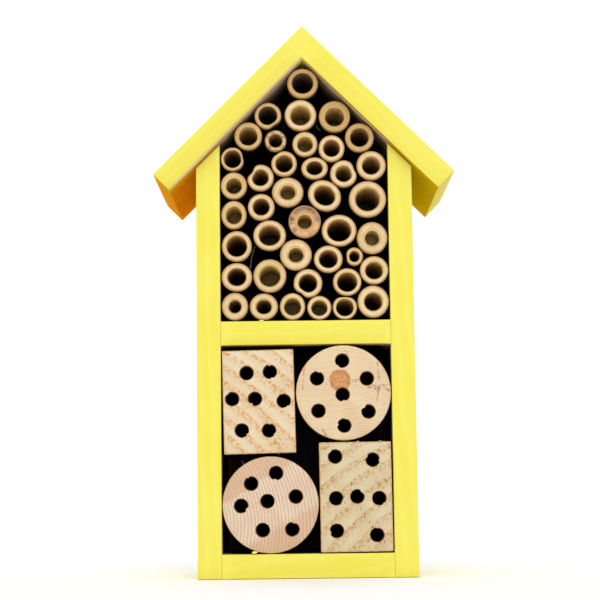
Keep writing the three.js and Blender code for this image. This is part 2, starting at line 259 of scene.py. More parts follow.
# %% Group: saw marks
tree, given = start_group(
    "saw marks",
    {"Vector": (0, 0, 0), "Across": (0, 1, 0), "Spacing": 0.001, "Waver": 1.0},
    ["Line", "Depth"])
distance = vector_calc(tree, "DOT_PRODUCT", given["Vector"], given["Across"], output="Value")
waver = calc(tree, "MULTIPLY", speckle(tree, given["Vector"], 60.0), given["Waver"])
turns = calc(tree, "ADD", calc(tree, "DIVIDE", distance, given["Spacing"]), waver)
wave = calc(tree, "SINE", calc(tree, "MULTIPLY", turns, 2 * math.pi))
line = step(tree, wave, 0.1, 1.0)
strength = step(tree, speckle(tree, given["Vector"], 170.0), 0.36, 0.64)
deep = calc(tree, "MULTIPLY", line, strength)
end_group(tree, {"Line": deep, "Depth": calc(tree, "MULTIPLY_ADD", wave, 0.3, deep)})

# %% [markdown]
# ## Blotches and flecks
# No finish is one even colour. Broad blotches carry where paint lies thicker or wood takes up
# more light, and small flecks carry resin, dirt and torn grain. They are two groups, because a
# blotch fades away at its edge and a fleck ends sharply.

# %% Groups: blotches and flecks
tree, given = start_group("blotches", {"Vector": (0, 0, 0), "Size": 0.02, "Contrast": 0.5}, ["Mask"])
lumps = speckle(tree, given["Vector"], calc(tree, "DIVIDE", 1.0, given["Size"]), 3.0, 0.55)
half = calc(tree, "MULTIPLY", calc(tree, "SUBTRACT", 1.0, given["Contrast"]), 0.3)
end_group(tree, {"Mask": step(tree, lumps, calc(tree, "SUBTRACT", 0.5, half),
                              calc(tree, "ADD", 0.51, half))})

tree, given = start_group("flecks", {"Vector": (0, 0, 0), "Size": 0.001, "Share": 0.2}, ["Mask"])
cells = {"Vector": given["Vector"], "Scale": calc(tree, "DIVIDE", 1.0, given["Size"])}
cells = add(tree, "ShaderNodeTexVoronoi", cells)
chosen = add(tree, "ShaderNodeSeparateColor", {"Color": cells.outputs["Color"]}).outputs[0]
kept = calc(tree, "LESS_THAN", chosen, given["Share"])
spot = step(tree, cells.outputs["Distance"], 0.28, 0.5, 1.0, 0.0)
end_group(tree, {"Mask": calc(tree, "MULTIPLY", kept, spot)})

# %% [markdown]
# ## Cracks and stains that run in a line
# Timber checks as it dries, and resin bleeds along the checks. The group gives a mask for one
# such line: near a straight stretch between two points, bent by noise so that it looks torn
# and not ruled.

# %% Group: line stain
tree, given = start_group(
    "line stain",
    {"Vector": (0, 0, 0), "Start": (0, 0, 0), "Reach": (0, 0, 0.01), "Width": 0.0005, "Waver": 0.002},
    ["Mask"])
bend = add(tree, "ShaderNodeTexNoise", {"Vector": given["Vector"], "Scale": 260.0, "Detail": 3.0})
bend = vector_calc(tree, "SUBTRACT", bend.outputs["Color"], (0.5, 0.5, 0.5))
here = vector_calc(tree, "ADD", given["Vector"], vector_calc(tree, "SCALE", bend, given["Waver"]))
here = vector_calc(tree, "SUBTRACT", here, given["Start"])
here = vector_calc(tree, "MULTIPLY", here, (0, 1, 1))
along = vector_calc(tree, "DOT_PRODUCT", here, given["Reach"], output="Value")
length = vector_calc(tree, "DOT_PRODUCT", given["Reach"], given["Reach"], output="Value")
share = calc(tree, "DIVIDE", along, length, clamp=True)
nearest = vector_calc(tree, "SCALE", given["Reach"], share)
gap = vector_calc(tree, "DISTANCE", here, nearest, output="Value")
edge = calc(tree, "MULTIPLY", given["Width"], 0.35)
end_group(tree, {"Mask": step(tree, gap, edge, given["Width"], 1.0, 0.0)})

# %% [markdown]
# ## Starting a material
# Every material begins in the same way: one Principled shader, and a Bump node that turns a
# height into shading. The height is in metres, so a number in it can be read as a real depth.

# %% Starting a material
def start_material(name, **fixed):
    """A material with one Principled shader, whose plain values are set by name."""
    made = bpy.data.materials.new(name)
    made.use_nodes = True
    made.node_tree.nodes.clear()
    shader = add(made.node_tree, "ShaderNodeBsdfPrincipled")
    output = add(made.node_tree, "ShaderNodeOutputMaterial")
    made.node_tree.links.new(shader.outputs["BSDF"], output.inputs["Surface"])
    for socket, value in fixed.items():
        shader.inputs[socket.replace("_", " ")].default_value = value
    return made, made.node_tree, shader


def finish_material(tree, shader, color, roughness, height, strength=1.0):
    """Links colour, roughness and a height in metres to the shader."""
    bump = add(tree, "ShaderNodeBump", {"Height": height, "Distance": 1.0, "Strength": strength})
    tree.links.new(color, shader.inputs["Base Color"])
    tree.links.new(roughness, shader.inputs["Roughness"])
    tree.links.new(bump.outputs["Normal"], shader.inputs["Normal"])


# %% [markdown]
# ## Yellow paint over planed wood
# The boards are sawn, planed and brushed with a satin garden paint outside only. The inside
# stays bare, and its colour is painted darker the further back it lies, until it is nearly
# black: painted shade. So one material holds both finishes. The mesh carries a value called
# inset: 0 outside, and inside the distance back from the front edge. Noise makes the edge of
# the paint wander, as a brush leaves it, and another value, edge, thins the paint on the sharp
# corners of the board. Where a face looks down under the eaves, its colour is painted olive
# brown and streaked with the grain: painted shade, which also stands for thinner paint there.
# On the left board that colour is redder, a painted warm shade. A value at each point says how
# much, and red says how warm. The left roof board was also planed along its lower front edge
# after it was painted, so a narrow strip of bare wood shows there, and planed carries it.

# %% Material: painted boards
PAINT = srgb(232, 223, 82)
PAINT_THICK = srgb(231, 217, 62)
PAINT_THIN = srgb(236, 228, 102)
SHADE_OLIVE = srgb(198, 166, 0)
SHADE_RED = srgb(222, 124, 0)
SHADE_GRAIN = srgb(170, 96, 0)
BARE_WOOD = srgb(214, 192, 160)
BARE_LATE_WOOD = srgb(176, 146, 110)
# The near black that painted shade tends to.
SHADED_WOOD = srgb(14, 9, 6)


def darken_inside(tree, color, inset, reach, start=0.0):
    """Paints shade into a colour from the front edge inwards, until it is nearly black."""
    deep = step(tree, inset, start, reach)
    return mix(tree, deep, color, SHADED_WOOD)


def painted_board():
    material, tree, shader = start_material("painted board")
    here = attribute(tree, "grain", "Vector")
    inset = attribute(tree, "inset")
    rings = place(tree, "growth rings", {"Vector": here, "Ring Width": 3.4 * MM, "Wander": 4 * MM})
    fibres = place(tree, "fibres", {"Vector": here, "Fineness": 900.0})
    broad = place(tree, "blotches", {"Vector": here, "Size": 34 * MM, "Contrast": 0.2})["Mask"]
    small = place(tree, "blotches", {"Vector": here, "Size": 5 * MM, "Contrast": 0.4})["Mask"]

    wander = calc(tree, "MULTIPLY", calc(tree, "SUBTRACT", small, 0.5), 1.6 * MM)
    bare = step(tree, calc(tree, "ADD", inset, wander), 0.9 * MM, 1.4 * MM)
    paint = mix(tree, broad, PAINT, PAINT_THICK)
    thin = calc(tree, "MULTIPLY", rings["Late Wood"], 0.35)
    thin = calc(tree, "MULTIPLY_ADD", fibres["Streak"], 0.25, thin)
    paint = mix(tree, thin, paint, PAINT_THIN)
    worn = calc(tree, "MULTIPLY", attribute(tree, "edge"), step(tree, small, 0.55, 0.9))
    wood = mix(tree, rings["Late Wood"], BARE_WOOD, BARE_LATE_WOOD)
    wood = mix(tree, calc(tree, "MULTIPLY", fibres["Fine Streak"], 0.4), wood, BARE_LATE_WOOD)
    paint = mix(tree, calc(tree, "MULTIPLY", worn, 0.2), paint, wood)
    # Painted shade under the eaves: olive brown, redder on the left board, streaked with the grain.
    under = mix(tree, attribute(tree, "red"), SHADE_OLIVE, SHADE_RED)
    under = mix(tree, step(tree, fibres["Streak"], 0.35, 0.75, 0.0, 0.5), under, SHADE_GRAIN)
    shaded_under = attribute(tree, "glaze")
    uneven = step(tree, small, 0.0, 1.0, 0.92, 1.0)
    paint = mix(tree, calc(tree, "MULTIPLY", shaded_under, uneven), paint, under)
    patchy = step(tree, small, 0.0, 1.0, 0.75, 1.0)
    paint = mix(tree, calc(tree, "MULTIPLY", attribute(tree, "planed"), patchy), paint, BARE_WOOD)
    tree.links.new(step(tree, shaded_under, 0.2, 0.6, 0.5, 0.0), shader.inputs["Specular IOR Level"])
    # Painted shade: the bare inside darkens to nearly black further back.
    wood = darken_inside(tree, wood, inset, 22 * MM, 4 * MM)
    color = mix(tree, bare, paint, wood)

    rough = step(tree, bare, 0.0, 1.0, 0.5, 0.8)
    rough = calc(tree, "MULTIPLY_ADD", small, 0.08, rough)
    brush = calc(tree, "MULTIPLY", fibres["Streak"], 0.035 * MM)
    relief = calc(tree, "MULTIPLY_ADD", rings["Late Wood"], 0.02 * MM, brush)
    relief = calc(tree, "MULTIPLY_ADD", small, 0.03 * MM, relief)
    finish_material(tree, shader, color, rough, relief)
    return material


PAINTED_BOARD = painted_board()
print("made", PAINTED_BOARD.name)

# %% [markdown]
# ## From bmesh to a named piece
# A bmesh is Blender's workbench for geometry: points, edges and faces that can be joined, cut
# and bevelled in code. When a mesh is ready it becomes an object that rides on a body of the
# frame and stands for its CAD solid. Flat faces meet in a crisp line and round ones run
# smoothly when only the steep edges are marked sharp.
# Round things are rings of points, one behind the other. Rings of equal length are easily
# joined by quads, and a fan of triangles closes the last one.

# %% Making a piece
def add_piece(name, bm, materials, stands_for=(), body=HOUSE, sharp=35):
    """Turns a finished bmesh into a piece of the model."""
    bmesh.ops.recalc_face_normals(bm, faces=bm.faces)
    mesh = bpy.data.meshes.new(name)
    bm.to_mesh(mesh)
    bm.free()
    for material in materials:
        mesh.materials.append(material)
    mesh.shade_smooth()
    mesh.set_sharp_from_angle(angle=math.radians(sharp))
    piece = bpy.data.objects.new(name, mesh)
    bpy.context.scene.collection.objects.link(piece)
    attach(piece, body)
    if stands_for:
        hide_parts(*stands_for)
    return piece


def carry(bm, name, values, vector=False):
    """Stores one value, or one vector, at each point of the bmesh, for the material to read."""
    layers = bm.verts.layers.float_vector if vector else bm.verts.layers.float
    layer = layers.get(name) or layers.new(name)
    for vert in bm.verts:
        vert[layer] = values(vert)


def ring_at(bm, centre, side, other, radius, count):
    """A ring of points round a centre, in the plane of two directions."""
    turns = [2 * math.pi * i / count for i in range(count)]
    return [bm.verts.new(centre + radius * (math.cos(t) * side + math.sin(t) * other)) for t in turns]


def join_rows(bm, first, second, surface=0):
    """Joins two rings of equal length by quads of one material."""
    for i in range(len(first)):
        face = bm.faces.new((first[i - 1], first[i], second[i], second[i - 1]))
        face.material_index = surface


def join_all(bm, rows, surface=0):
    """Joins each ring to the next."""
    for first, second in zip(rows, rows[1:]):
        join_rows(bm, first, second, surface)


def fan(bm, row, point, surface=0):
    """Closes a ring with triangles to one point."""
    tip = bm.verts.new(point)
    for i in range(len(row)):
        bm.faces.new((row[i - 1], row[i], tip)).material_index = surface


def inward(point, size, reach):
    """A small even wobble from 0 to 1 times reach, for surfaces that aren't quite flat."""
    return reach * (0.5 + 0.5 * noise.noise(point / size))


def step_up(value, low, high):
    """0 below low, 1 above high, and in proportion between them."""
    return min(1.0, max(0.0, (value - low) / (high - low)))


# %% [markdown]
# ## Reading outlines from the CAD solids
# Each CAD solid here is an outline pushed straight back, so its points lie in a few planes.
# The rear plane holds the outline, and where there is a bore, its closed end is a plane of its
# own. Reading the outline from there saves repeating any size in this script.

# %% Reading outlines
SAME_PLANE = 0.05 * MM


def planes(node):
    """The distinct depths at which a CAD node has points, front first."""
    found = []
    for y in sorted(v.co.y for v in frame["nodes"][node].data.vertices):
        if not found or y - found[-1] > SAME_PLANE:
            found.append(y)
    return found


def points_at(node, depth):
    """The distinct points of a CAD node in one plane, seen from the front."""
    near = {(round(v.co.x, 6), round(v.co.z, 6)) for v in frame["nodes"][node].data.vertices
            if abs(v.co.y - depth) < SAME_PLANE}
    return sorted(near)


def outline_at(node, depth):
    """The outermost of those points, in order round the outline: the lower side from left to
    right, then the upper side back again. A point is dropped where the outline would turn in."""
    points = [Vector(p) for p in points_at(node, depth)]
    outline = []
    for one_way in (points, points[::-1]):
        side = []
        for point in one_way:
            while len(side) > 1 and (side[-1] - side[-2]).cross(point - side[-1]) < 1e-9:
                side.pop()
            side.append(point)
        outline += side[:-1]
    return outline


print("back panel outline has", len(outline_at("back_panel", planes("back_panel")[0])), "corners")

# %% [markdown]
# ## Boards
# A board could be a cube with a bevel modifier, but its ends are mitred and its faces should
# be able to bend a little, as real boards do. So each one is its CAD outline pushed back,
# with its edges rounded by the sandpaper, then sliced every few millimetres to give points
# that can move. Each point moves inwards only, by a tenth of a millimetre, so that the house
# keeps its size. Where two boards were nailed together before they were painted, the paint
# fills the joint, so the edges that meet there stay square and the gap is closed. The back
# panel hides where the inside ends, so two more slices there keep that change narrow.

# %% What the boards share
UP = Vector((0, 0, 1))
SIDEWAYS = Vector((1, 0, 0))
BACKWARDS = Vector((0, 1, 0))
LEFT_FACE = (UP - SIDEWAYS).normalized()
RIGHT_FACE = (UP + SIDEWAYS).normalized()
EDGE_ROUNDING = 0.4 * MM
PLANED_OFF = 1.5 * MM
PLANED_FROM, PLANED_UP_TO = -55 * MM, -20 * MM      # along the board, from its middle
TOUCHING = 0.02 * MM
SLICE = 6 * MM
PLANING_WAVE = 0.1 * MM
JOINT_REACH = 0.5 * MM
BEHIND_PANEL = (0.6 * MM, 0.1 * MM)
STEEP = math.radians(35)
SINKING = ((0.9 * MM, 0.0), (0.5 * MM, 0.15 * MM), (0.1 * MM, 0.45 * MM), (0.0, 1.2 * MM))
chance = random.Random(7)
inner_low, inner_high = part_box("floor_board")
roof_apex = max(v.co.z for v in frame["nodes"]["back_panel"].data.vertices)
panel_rear = max(v.co.y for v in frame["nodes"]["back_panel"].data.vertices)


def faces_chamber(vert):
    """True where a point's surface looks into the space between the boards, which the back
    panel closes: what shows behind the panel is painted like the outside."""
    normal = vert.normal
    probe = vert.co + normal * MM
    return (abs(normal.y) < 0.7
            and vert.co.y < panel_rear - sum(BEHIND_PANEL) / 2
            and inner_low.x < probe.x < inner_high.x
            and inner_high.z - MM < probe.z < roof_apex - abs(probe.x))


# %% Cutting, rounding and marking a board
def prism(outline, front, back):
    """A bmesh of an outline seen from the front, pushed back from one depth to another."""
    bm = bmesh.new()
    face = bm.faces.new([bm.verts.new((x, front, z)) for x, z in outline])
    pushed = bmesh.ops.extrude_face_region(bm, geom=[face])["geom"]
    moved = [item for item in pushed if isinstance(item, bmesh.types.BMVert)]
    bmesh.ops.translate(bm, verts=moved, vec=(0, back - front, 0))
    bmesh.ops.recalc_face_normals(bm, faces=bm.faces)
    return bm


def slice_at(bm, axis, distance):
    """Cuts the bmesh with one plane, at a distance along an axis."""
    everything = [*bm.verts, *bm.edges, *bm.faces]
    bmesh.ops.bisect_plane(bm, geom=everything, plane_co=axis * distance, plane_no=axis)


def slice_up(bm, axis, spacing):
    """Cuts the bmesh with parallel planes, so that it has points all over."""
    reach = [axis.dot(v.co) for v in bm.verts]
    low, high = min(reach), max(reach)
    count = max(1, round((high - low) / spacing))
    for i in range(1, count):
        slice_at(bm, axis, low + (high - low) * i / count)


def mark_rounded(bm, flats):
    """Marks the points of the rounding itself, which touch none of the flat faces."""
    edge = bm.verts.layers.float.new("edge")
    for vert in bm.verts:
        on_flat = any(f.normal.dot(flat) > 0.9999 for f in vert.link_faces for flat in flats)
        vert[edge] = 0.0 if on_flat else 1.0


def glaze(normal, along, red):
    """Painted shade, and thin paint, where a face looks down: all under an eave, part on its sawn end."""
    down = min(1.0, max(0.0, -normal.z / 0.7))
    sawn_end = min(1.0, abs(normal.dot(along)))
    return down * (1.0 - sawn_end * (0.5 - 0.42 * red))


def sink_nails(bm, nails):
    """Opens a shallow round sinking in the board where each nail head was driven in."""
    normal = nails[0][1]
    top = max((f for f in bm.faces if f.normal.dot(normal) > 0.9999), key=lambda f: f.calc_area())
    level = top.verts[0].co.dot(normal)
    edges = list(top.edges)
    bmesh.ops.delete(bm, geom=[top], context="FACES_ONLY")
    for centre, axis, radius in nails:
        sideways = axis.cross(BACKWARDS)
        rows = []
        for wider, depth in SINKING:
            middle = centre + axis * (level - centre.dot(axis) - depth)
            rows.append(ring_at(bm, middle, BACKWARDS, sideways, radius + wider, 32))
        join_all(bm, rows)
        bm.faces.new(rows[-1])
        edges += [bm.edges.get((rows[0][i - 1], rows[0][i])) for i in range(32)]
    bmesh.ops.triangle_fill(bm, use_beauty=True, edges=edges, normal=normal)


def middle_of(edge):
    """The middle of an edge."""
    return (edge.verts[0].co + edge.verts[1].co) / 2


def plane_off(bm, under, front, size):
    """Takes off the lower front edge, under the face whose normal is given, with a plane."""
    lowest = max(v.co.dot(under) for v in bm.verts)
    lower = [e for e in bm.edges if all(abs(v.co.y - front) < TOUCHING for v in e.verts)
             and middle_of(e).dot(under) > lowest - TOUCHING]
    bmesh.ops.bevel(bm, geom=lower, offset=size, segments=3, profile=0.5, affect="EDGES")


# %% Building a board
def board_bmesh(outline, depths, along, is_joint, nails=(), red=0.0):
    """A rounded, slightly uneven board. along is the direction of its grain, and is_joint
    says whether a point lies in a joint that the paint has filled."""
    bm = prism(outline, depths[0], depths[-1])
    flats = [f.normal.copy() for f in bm.faces]
    if red:
        plane_off(bm, -LEFT_FACE, depths[0], PLANED_OFF)
    free = [e for e in bm.edges if e.calc_face_angle() > STEEP and not is_joint(middle_of(e))]
    bmesh.ops.bevel(bm, geom=free, offset=EDGE_ROUNDING, segments=4, profile=0.5, affect="EDGES")
    mark_rounded(bm, flats)
    if nails:
        sink_nails(bm, nails)
    slice_up(bm, along, SLICE)
    slice_up(bm, BACKWARDS, SLICE)
    for before_rear in BEHIND_PANEL:
        slice_at(bm, BACKWARDS, panel_rear - before_rear)
    bm.normal_update()

    axes = (along, BACKWARDS, along.cross(BACKWARDS))
    shift = Vector((chance.uniform(-1, 1), chance.uniform(-20, 20) * MM, chance.uniform(25, 60) * MM))
    middle = sum((v.co for v in bm.verts), Vector()) / len(bm.verts)
    carry(bm, "grain", lambda v: shift + Vector([(v.co - middle).dot(a) for a in axes]), True)
    slopes = along.x * along.z != 0
    # How fast the painted shade inside deepens going back: more slowly under the roof.
    darkens = 0.55 if slopes else 1.5
    carry(bm, "inset", lambda v: darkens * (v.co.y - depths[0]) if faces_chamber(v) else 0.0)
    # red: the left roof board's painted warm shade, which fades in behind its front face.
    carry(bm, "red", lambda v: red * step_up(v.co.y - depths[0], 0.0, 12 * MM))

    def planed(vert):
        """1 on the strip that was planed off, fading out towards the eave."""
        on_strip = -vert.normal.y > 0.25 and vert.normal.dot(LEFT_FACE) < -0.25
        return red * on_strip * step_up((vert.co - middle).dot(along), PLANED_FROM, PLANED_UP_TO)

    carry(bm, "planed", planed)
    # How much painted shade the eaves get, and none in the joints that the paint filled.
    carry(bm, "glaze", lambda v: 0.0 if is_joint(v.co, JOINT_REACH) else glaze(v.normal, along, red))
    for vert in (v for v in bm.verts if not is_joint(v.co, JOINT_REACH)):
        vert.co -= vert.normal * inward(vert.co + shift, 26 * MM, PLANING_WAVE)
    return bm


# %% [markdown]
# ### The ridge
# The right roof board laps over the end of the left one and is nailed into it. Under the
# paint the joint hardly shows. The left board is drawn a little longer, until it touches, and
# the right board gets two more corners on its underside: one where the joint ends, and one a
# little further on, where the rounding of its edge starts.

# %% Reading the nails
def head_of(nail, axis):
    """The middle and the radius of a nail's head, which is its end furthest out along axis."""
    points = [v.co.copy() for v in frame["nodes"][nail].data.vertices]
    furthest = max(p.dot(axis) for p in points)
    head = [p for p in points if p.dot(axis) > furthest - SAME_PLANE]
    middle = sum(head, Vector()) / len(head)
    return middle, axis, max((p - middle).length for p in head)


NAILS = {name: head_of(name, LEFT_FACE if name.startswith("left") else RIGHT_FACE)
         for name in sorted(frame["nodes"]) if "nail" in name}
NAILS_IN = {
    "left_roof_board": [head for name, head in NAILS.items() if name.startswith("left")],
    "right_roof_board": [head for name, head in NAILS.items() if not name.startswith("left")],
}
print("nail heads", round(2 * NAILS["ridge_nail_1"][2] / MM, 1), "mm across")

# %% Closing the ridge joint
LEFT_RISE = (SIDEWAYS + UP).normalized()
RIGHT_FALL = (SIDEWAYS - UP).normalized()
BOARDS = {
    "left_side_board": UP,
    "right_side_board": UP,
    "floor_board": SIDEWAYS,
    "shelf": SIDEWAYS,
    "left_roof_board": LEFT_RISE,
    "right_roof_board": RIGHT_FALL,
}
outlines = {node: outline_at(node, planes(node)[0]) for node in BOARDS}


def rise(point):
    """How far up the left slope a point lies."""
    return point.dot(LEFT_RISE.xz)


joint = min(rise(corner) for corner in outlines["right_roof_board"])
left_end = max(rise(corner) for corner in outlines["left_roof_board"])
for corner in outlines["left_roof_board"]:
    if rise(corner) > left_end - TOUCHING:
        corner += LEFT_RISE.xz * (joint - left_end)
at_joint = [corner for corner in outlines["left_roof_board"] if rise(corner) > joint - TOUCHING]
joint_foot = min(at_joint, key=lambda corner: corner.y)
right = outlines["right_roof_board"]
under = next(i for i in range(len(right)) if max(map(rise, (right[i - 1], right[i]))) < joint + TOUCHING)
joint_end = joint_foot + RIGHT_FALL.xz * 1.5 * EDGE_ROUNDING
right[under:under] = [joint_foot.copy(), joint_end]
print("the ridge joint was", round((joint - left_end) / MM, 2), "mm open")


def in_joint(node, point, slack=TOUCHING):
    """True for a point that lies in a painted joint, or as near to it as slack."""
    if node.endswith("roof_board"):
        return abs(rise(point.xz) - joint) < slack and point.x < joint_end.x + slack
    return node in ("shelf", "floor_board") and abs(abs(point.x) - inner_high.x) < slack


# %% Making the six boards
for node, along in BOARDS.items():
    bm = board_bmesh(outlines[node], planes(node), along, partial(in_joint, node),
                     NAILS_IN.get(node, ()), float(node == "left_roof_board"))
    piece = add_piece(node + "_planed", bm, [PAINTED_BOARD], [node])
    print(node, len(piece.data.vertices), "points")

# %% [markdown]
# ## Bamboo, cut across
# A bamboo stem has three surfaces that look nothing alike, so it gets three materials. The
# cut end is creamy and packed with darker fibre bundles, closest together under the skin. The
# skin is hard and smooth, with fine streaks along it, and behind the cut it is painted darker,
# as painted shade between the stems. The bore is lined with a papery layer, tan near the mouth
# and painted darker further in, as painted shade. Each mesh tells its materials where they
# are: wall runs from 0 at the bore to 1 at the skin, inset is the distance back from the cut,
# node is 1 on the wall that closes the bore, and around is the direction from the stem's
# middle, which tells the lower wall of a bore, painted in shade, from its upper wall. Other
# values hold for a whole stem. Its tone runs from pale to golden, pale says how much lighter
# its bore is painted, as painted light, and how much darker, as painted shade, if it is below
# 0, and stain and mottle are 1 on one stem each.

# %% Material: the cut end
CUT_PALE = srgb(228, 203, 157)
CUT_GOLDEN = srgb(198, 158, 92)
BUNDLE = srgb(172, 124, 70)
RIM = srgb(156, 106, 54)
STAIN = srgb(88, 50, 44)
AMBER = srgb(196, 124, 60)
MOTTLE = srgb(128, 78, 42)


def cut_bamboo():
    material, tree, shader = start_material("cut bamboo")
    here = attribute(tree, "grain", "Vector")
    wall = attribute(tree, "wall")
    blotch = place(tree, "blotches", {"Vector": here, "Size": 4 * MM, "Contrast": 0.2})["Mask"]
    tone = calc(tree, "MULTIPLY_ADD", calc(tree, "SUBTRACT", blotch, 0.5), 0.45, attribute(tree, "tone"))
    color = mix(tree, tone, CUT_PALE, CUT_GOLDEN)

    bundles = add(tree, "ShaderNodeTexVoronoi", {"Vector": here, "Scale": 1900.0, "Randomness": 0.9})
    size = calc(tree, "MULTIPLY_ADD", wall, 0.16, 0.12)
    bundle = step(tree, calc(tree, "SUBTRACT", bundles.outputs["Distance"], size), -0.05, 0.1, 1.0, 0.0)
    crowded = step(tree, wall, 0.1, 1.0, 0.12, 0.6)
    color = mix(tree, calc(tree, "MULTIPLY", bundle, crowded), color, BUNDLE)

    ragged = calc(tree, "MULTIPLY_ADD", speckle(tree, here, 420.0), 0.24, wall)
    under_skin = calc(tree, "MULTIPLY", step(tree, ragged, 0.6, 1.05), 0.5)
    skin_rim = calc(tree, "MULTIPLY", step(tree, ragged, 0.96, 1.16), 0.7)
    bore_rim = calc(tree, "MULTIPLY", step(tree, ragged, 0.1, 0.36, 1.0, 0.0), 0.6)
    color = mix(tree, calc(tree, "MAXIMUM", under_skin, bore_rim), color, CUT_GOLDEN)
    color = mix(tree, calc(tree, "MAXIMUM", skin_rim, bore_rim), color, RIM)

    stain = attribute(tree, "stain")
    around = attribute(tree, "around", "Vector")
    height_up = add(tree, "ShaderNodeSeparateXYZ", {"Vector": around}).outputs["Z"]
    inner = calc(tree, "MULTIPLY", stain, step(tree, wall, 0.05, 0.7, 0.75, 0.35))
    color = mix(tree, inner, color, AMBER)
    band = calc(tree, "MULTIPLY", step(tree, wall, 0.15, 0.6), step(tree, wall, 0.86, 1.0, 1.0, 0.3))
    lumps = calc(tree, "MULTIPLY_ADD", speckle(tree, around, 1.3, 1.0), 2.6, height_up)
    arc = step(tree, lumps, 1.0, 1.9)
    rays = step(tree, speckle(tree, around, 2.7, 1.0), 0.5, 0.64)
    dark = calc(tree, "MAXIMUM", calc(tree, "MULTIPLY", arc, 0.85), rays)
    outer = calc(tree, "MULTIPLY", calc(tree, "MULTIPLY", band, dark), 0.8)
    color = mix(tree, calc(tree, "MULTIPLY", stain, outer), color, STAIN)

    specks = place(tree, "blotches", {"Vector": here, "Size": 1.3 * MM, "Contrast": 0.85})["Mask"]
    specks = calc(tree, "MULTIPLY", specks, attribute(tree, "mottle"))
    color = mix(tree, calc(tree, "MULTIPLY", specks, 0.75), color, MOTTLE)

    saw = place(tree, "saw marks", {"Vector": here, "Across": (0, 0.5, 0.86), "Spacing": 0.9 * MM})
    height = calc(tree, "MULTIPLY", saw["Depth"], 0.02 * MM)
    height = calc(tree, "MULTIPLY_ADD", bundle, -0.03 * MM, height)
    rough = calc(tree, "MULTIPLY_ADD", bundle, 0.15, 0.5)
    finish_material(tree, shader, color, rough, height)
    return material


# %% Materials: the skin and the bore
# The dark brown that the painted shade in a bore tends to.
BORE_SHADE = srgb(58, 38, 22)
SKIN_TAN = srgb(206, 172, 108)
SKIN_GREEN = srgb(170, 156, 92)
LINING = srgb(244, 202, 128)
LINING_DARK = srgb(174, 126, 68)
LINING_PALE = srgb(255, 226, 150)
NODE_WALL = srgb(214, 186, 132)


def bamboo_skin():
    material, tree, shader = start_material("bamboo skin")
    here = attribute(tree, "grain", "Vector")
    fibres = place(tree, "fibres", {"Vector": here, "Fineness": 1500.0, "Stretch": 0.01})
    blotch = place(tree, "blotches", {"Vector": here, "Size": 9 * MM, "Contrast": 0.1})["Mask"]
    color = mix(tree, calc(tree, "MULTIPLY", blotch, attribute(tree, "tone")), SKIN_TAN, SKIN_GREEN)
    color = mix(tree, calc(tree, "MULTIPLY", fibres["Streak"], 0.5), color, RIM)
    # Painted shade between the stems: the skin darkens to nearly black behind the cut.
    color = darken_inside(tree, color, attribute(tree, "inset"), 4.5 * MM)
    rough = calc(tree, "MULTIPLY_ADD", fibres["Fine Streak"], 0.25, 0.3)
    finish_material(tree, shader, color, rough, calc(tree, "MULTIPLY", fibres["Streak"], 0.03 * MM))
    return material


def bamboo_bore():
    material, tree, shader = start_material("bamboo bore")
    here = attribute(tree, "grain", "Vector")
    fibres = place(tree, "fibres", {"Vector": here, "Fineness": 1100.0, "Stretch": 0.03})
    blotch = place(tree, "blotches", {"Vector": here, "Size": 3 * MM, "Contrast": 0.5})["Mask"]
    color = mix(tree, fibres["Streak"], LINING, LINING_DARK)
    color = mix(tree, calc(tree, "MULTIPLY", attribute(tree, "node"), 0.8), color, NODE_WALL)
    color = mix(tree, calc(tree, "MULTIPLY", blotch, 0.5), color, LINING_DARK)
    # pale paints the lining lighter, as painted light; below 0 it paints the whole bore darker, as painted
    # shade.
    pale = attribute(tree, "pale")
    color = mix(tree, calc(tree, "MULTIPLY", pale, 0.85), color, LINING_PALE)
    shaded_bore = calc(tree, "MULTIPLY", pale, -1.0)
    around = attribute(tree, "around", "Vector")
    height_up = add(tree, "ShaderNodeSeparateXYZ", {"Vector": around}).outputs["Z"]
    uneven = calc(tree, "MULTIPLY_ADD", speckle(tree, here, 330.0, 3.0), 0.9, height_up)
    # Painted shade: the lower wall of the bore and the node wall that closes it are darkened.
    floor = step(tree, uneven, -0.1, 0.75, 0.5, 0.0)
    end_wall = calc(tree, "MULTIPLY", attribute(tree, "node"), 0.55)
    dim = calc(tree, "MAXIMUM", calc(tree, "MAXIMUM", floor, end_wall), shaded_bore)
    color = mix(tree, dim, color, BORE_SHADE)
    # Painted shade deeper in, which the pale bores get less of.
    shade = calc(tree, "MULTIPLY_ADD", calc(tree, "MAXIMUM", pale, 0.0), -0.75, 1.0)
    depth = calc(tree, "MULTIPLY", attribute(tree, "inset"), shade)
    color = darken_inside(tree, color, depth, 56 * MM, 4 * MM)
    height = calc(tree, "MULTIPLY", fibres["Streak"], 0.08 * MM)
    height = calc(tree, "MULTIPLY_ADD", blotch, 0.15 * MM, height)
    finish_material(tree, shader, color, calc(tree, "MULTIPLY_ADD", blotch, 0.2, 0.55), height)
    return material


BAMBOO = [bamboo_skin(), cut_bamboo(), bamboo_bore()]
print("bamboo has", len(BAMBOO), "surfaces")

# %% [markdown]
# ## Shaping a stem
# The CAD solid is a coarse tube with a blind bore. Its outline already has each stem's own
# oval and groove, so the fine mesh needs only a smooth curve through the same points. Points
# evenly spread round a closed curve are a repeating signal, and its Fourier series gives the
# smoothest curve through them. The surface is then a row of such curves: along the skin, over
# the rounded rim, across the cut, into the bore, and over the thin wall of the node that
# closes it.

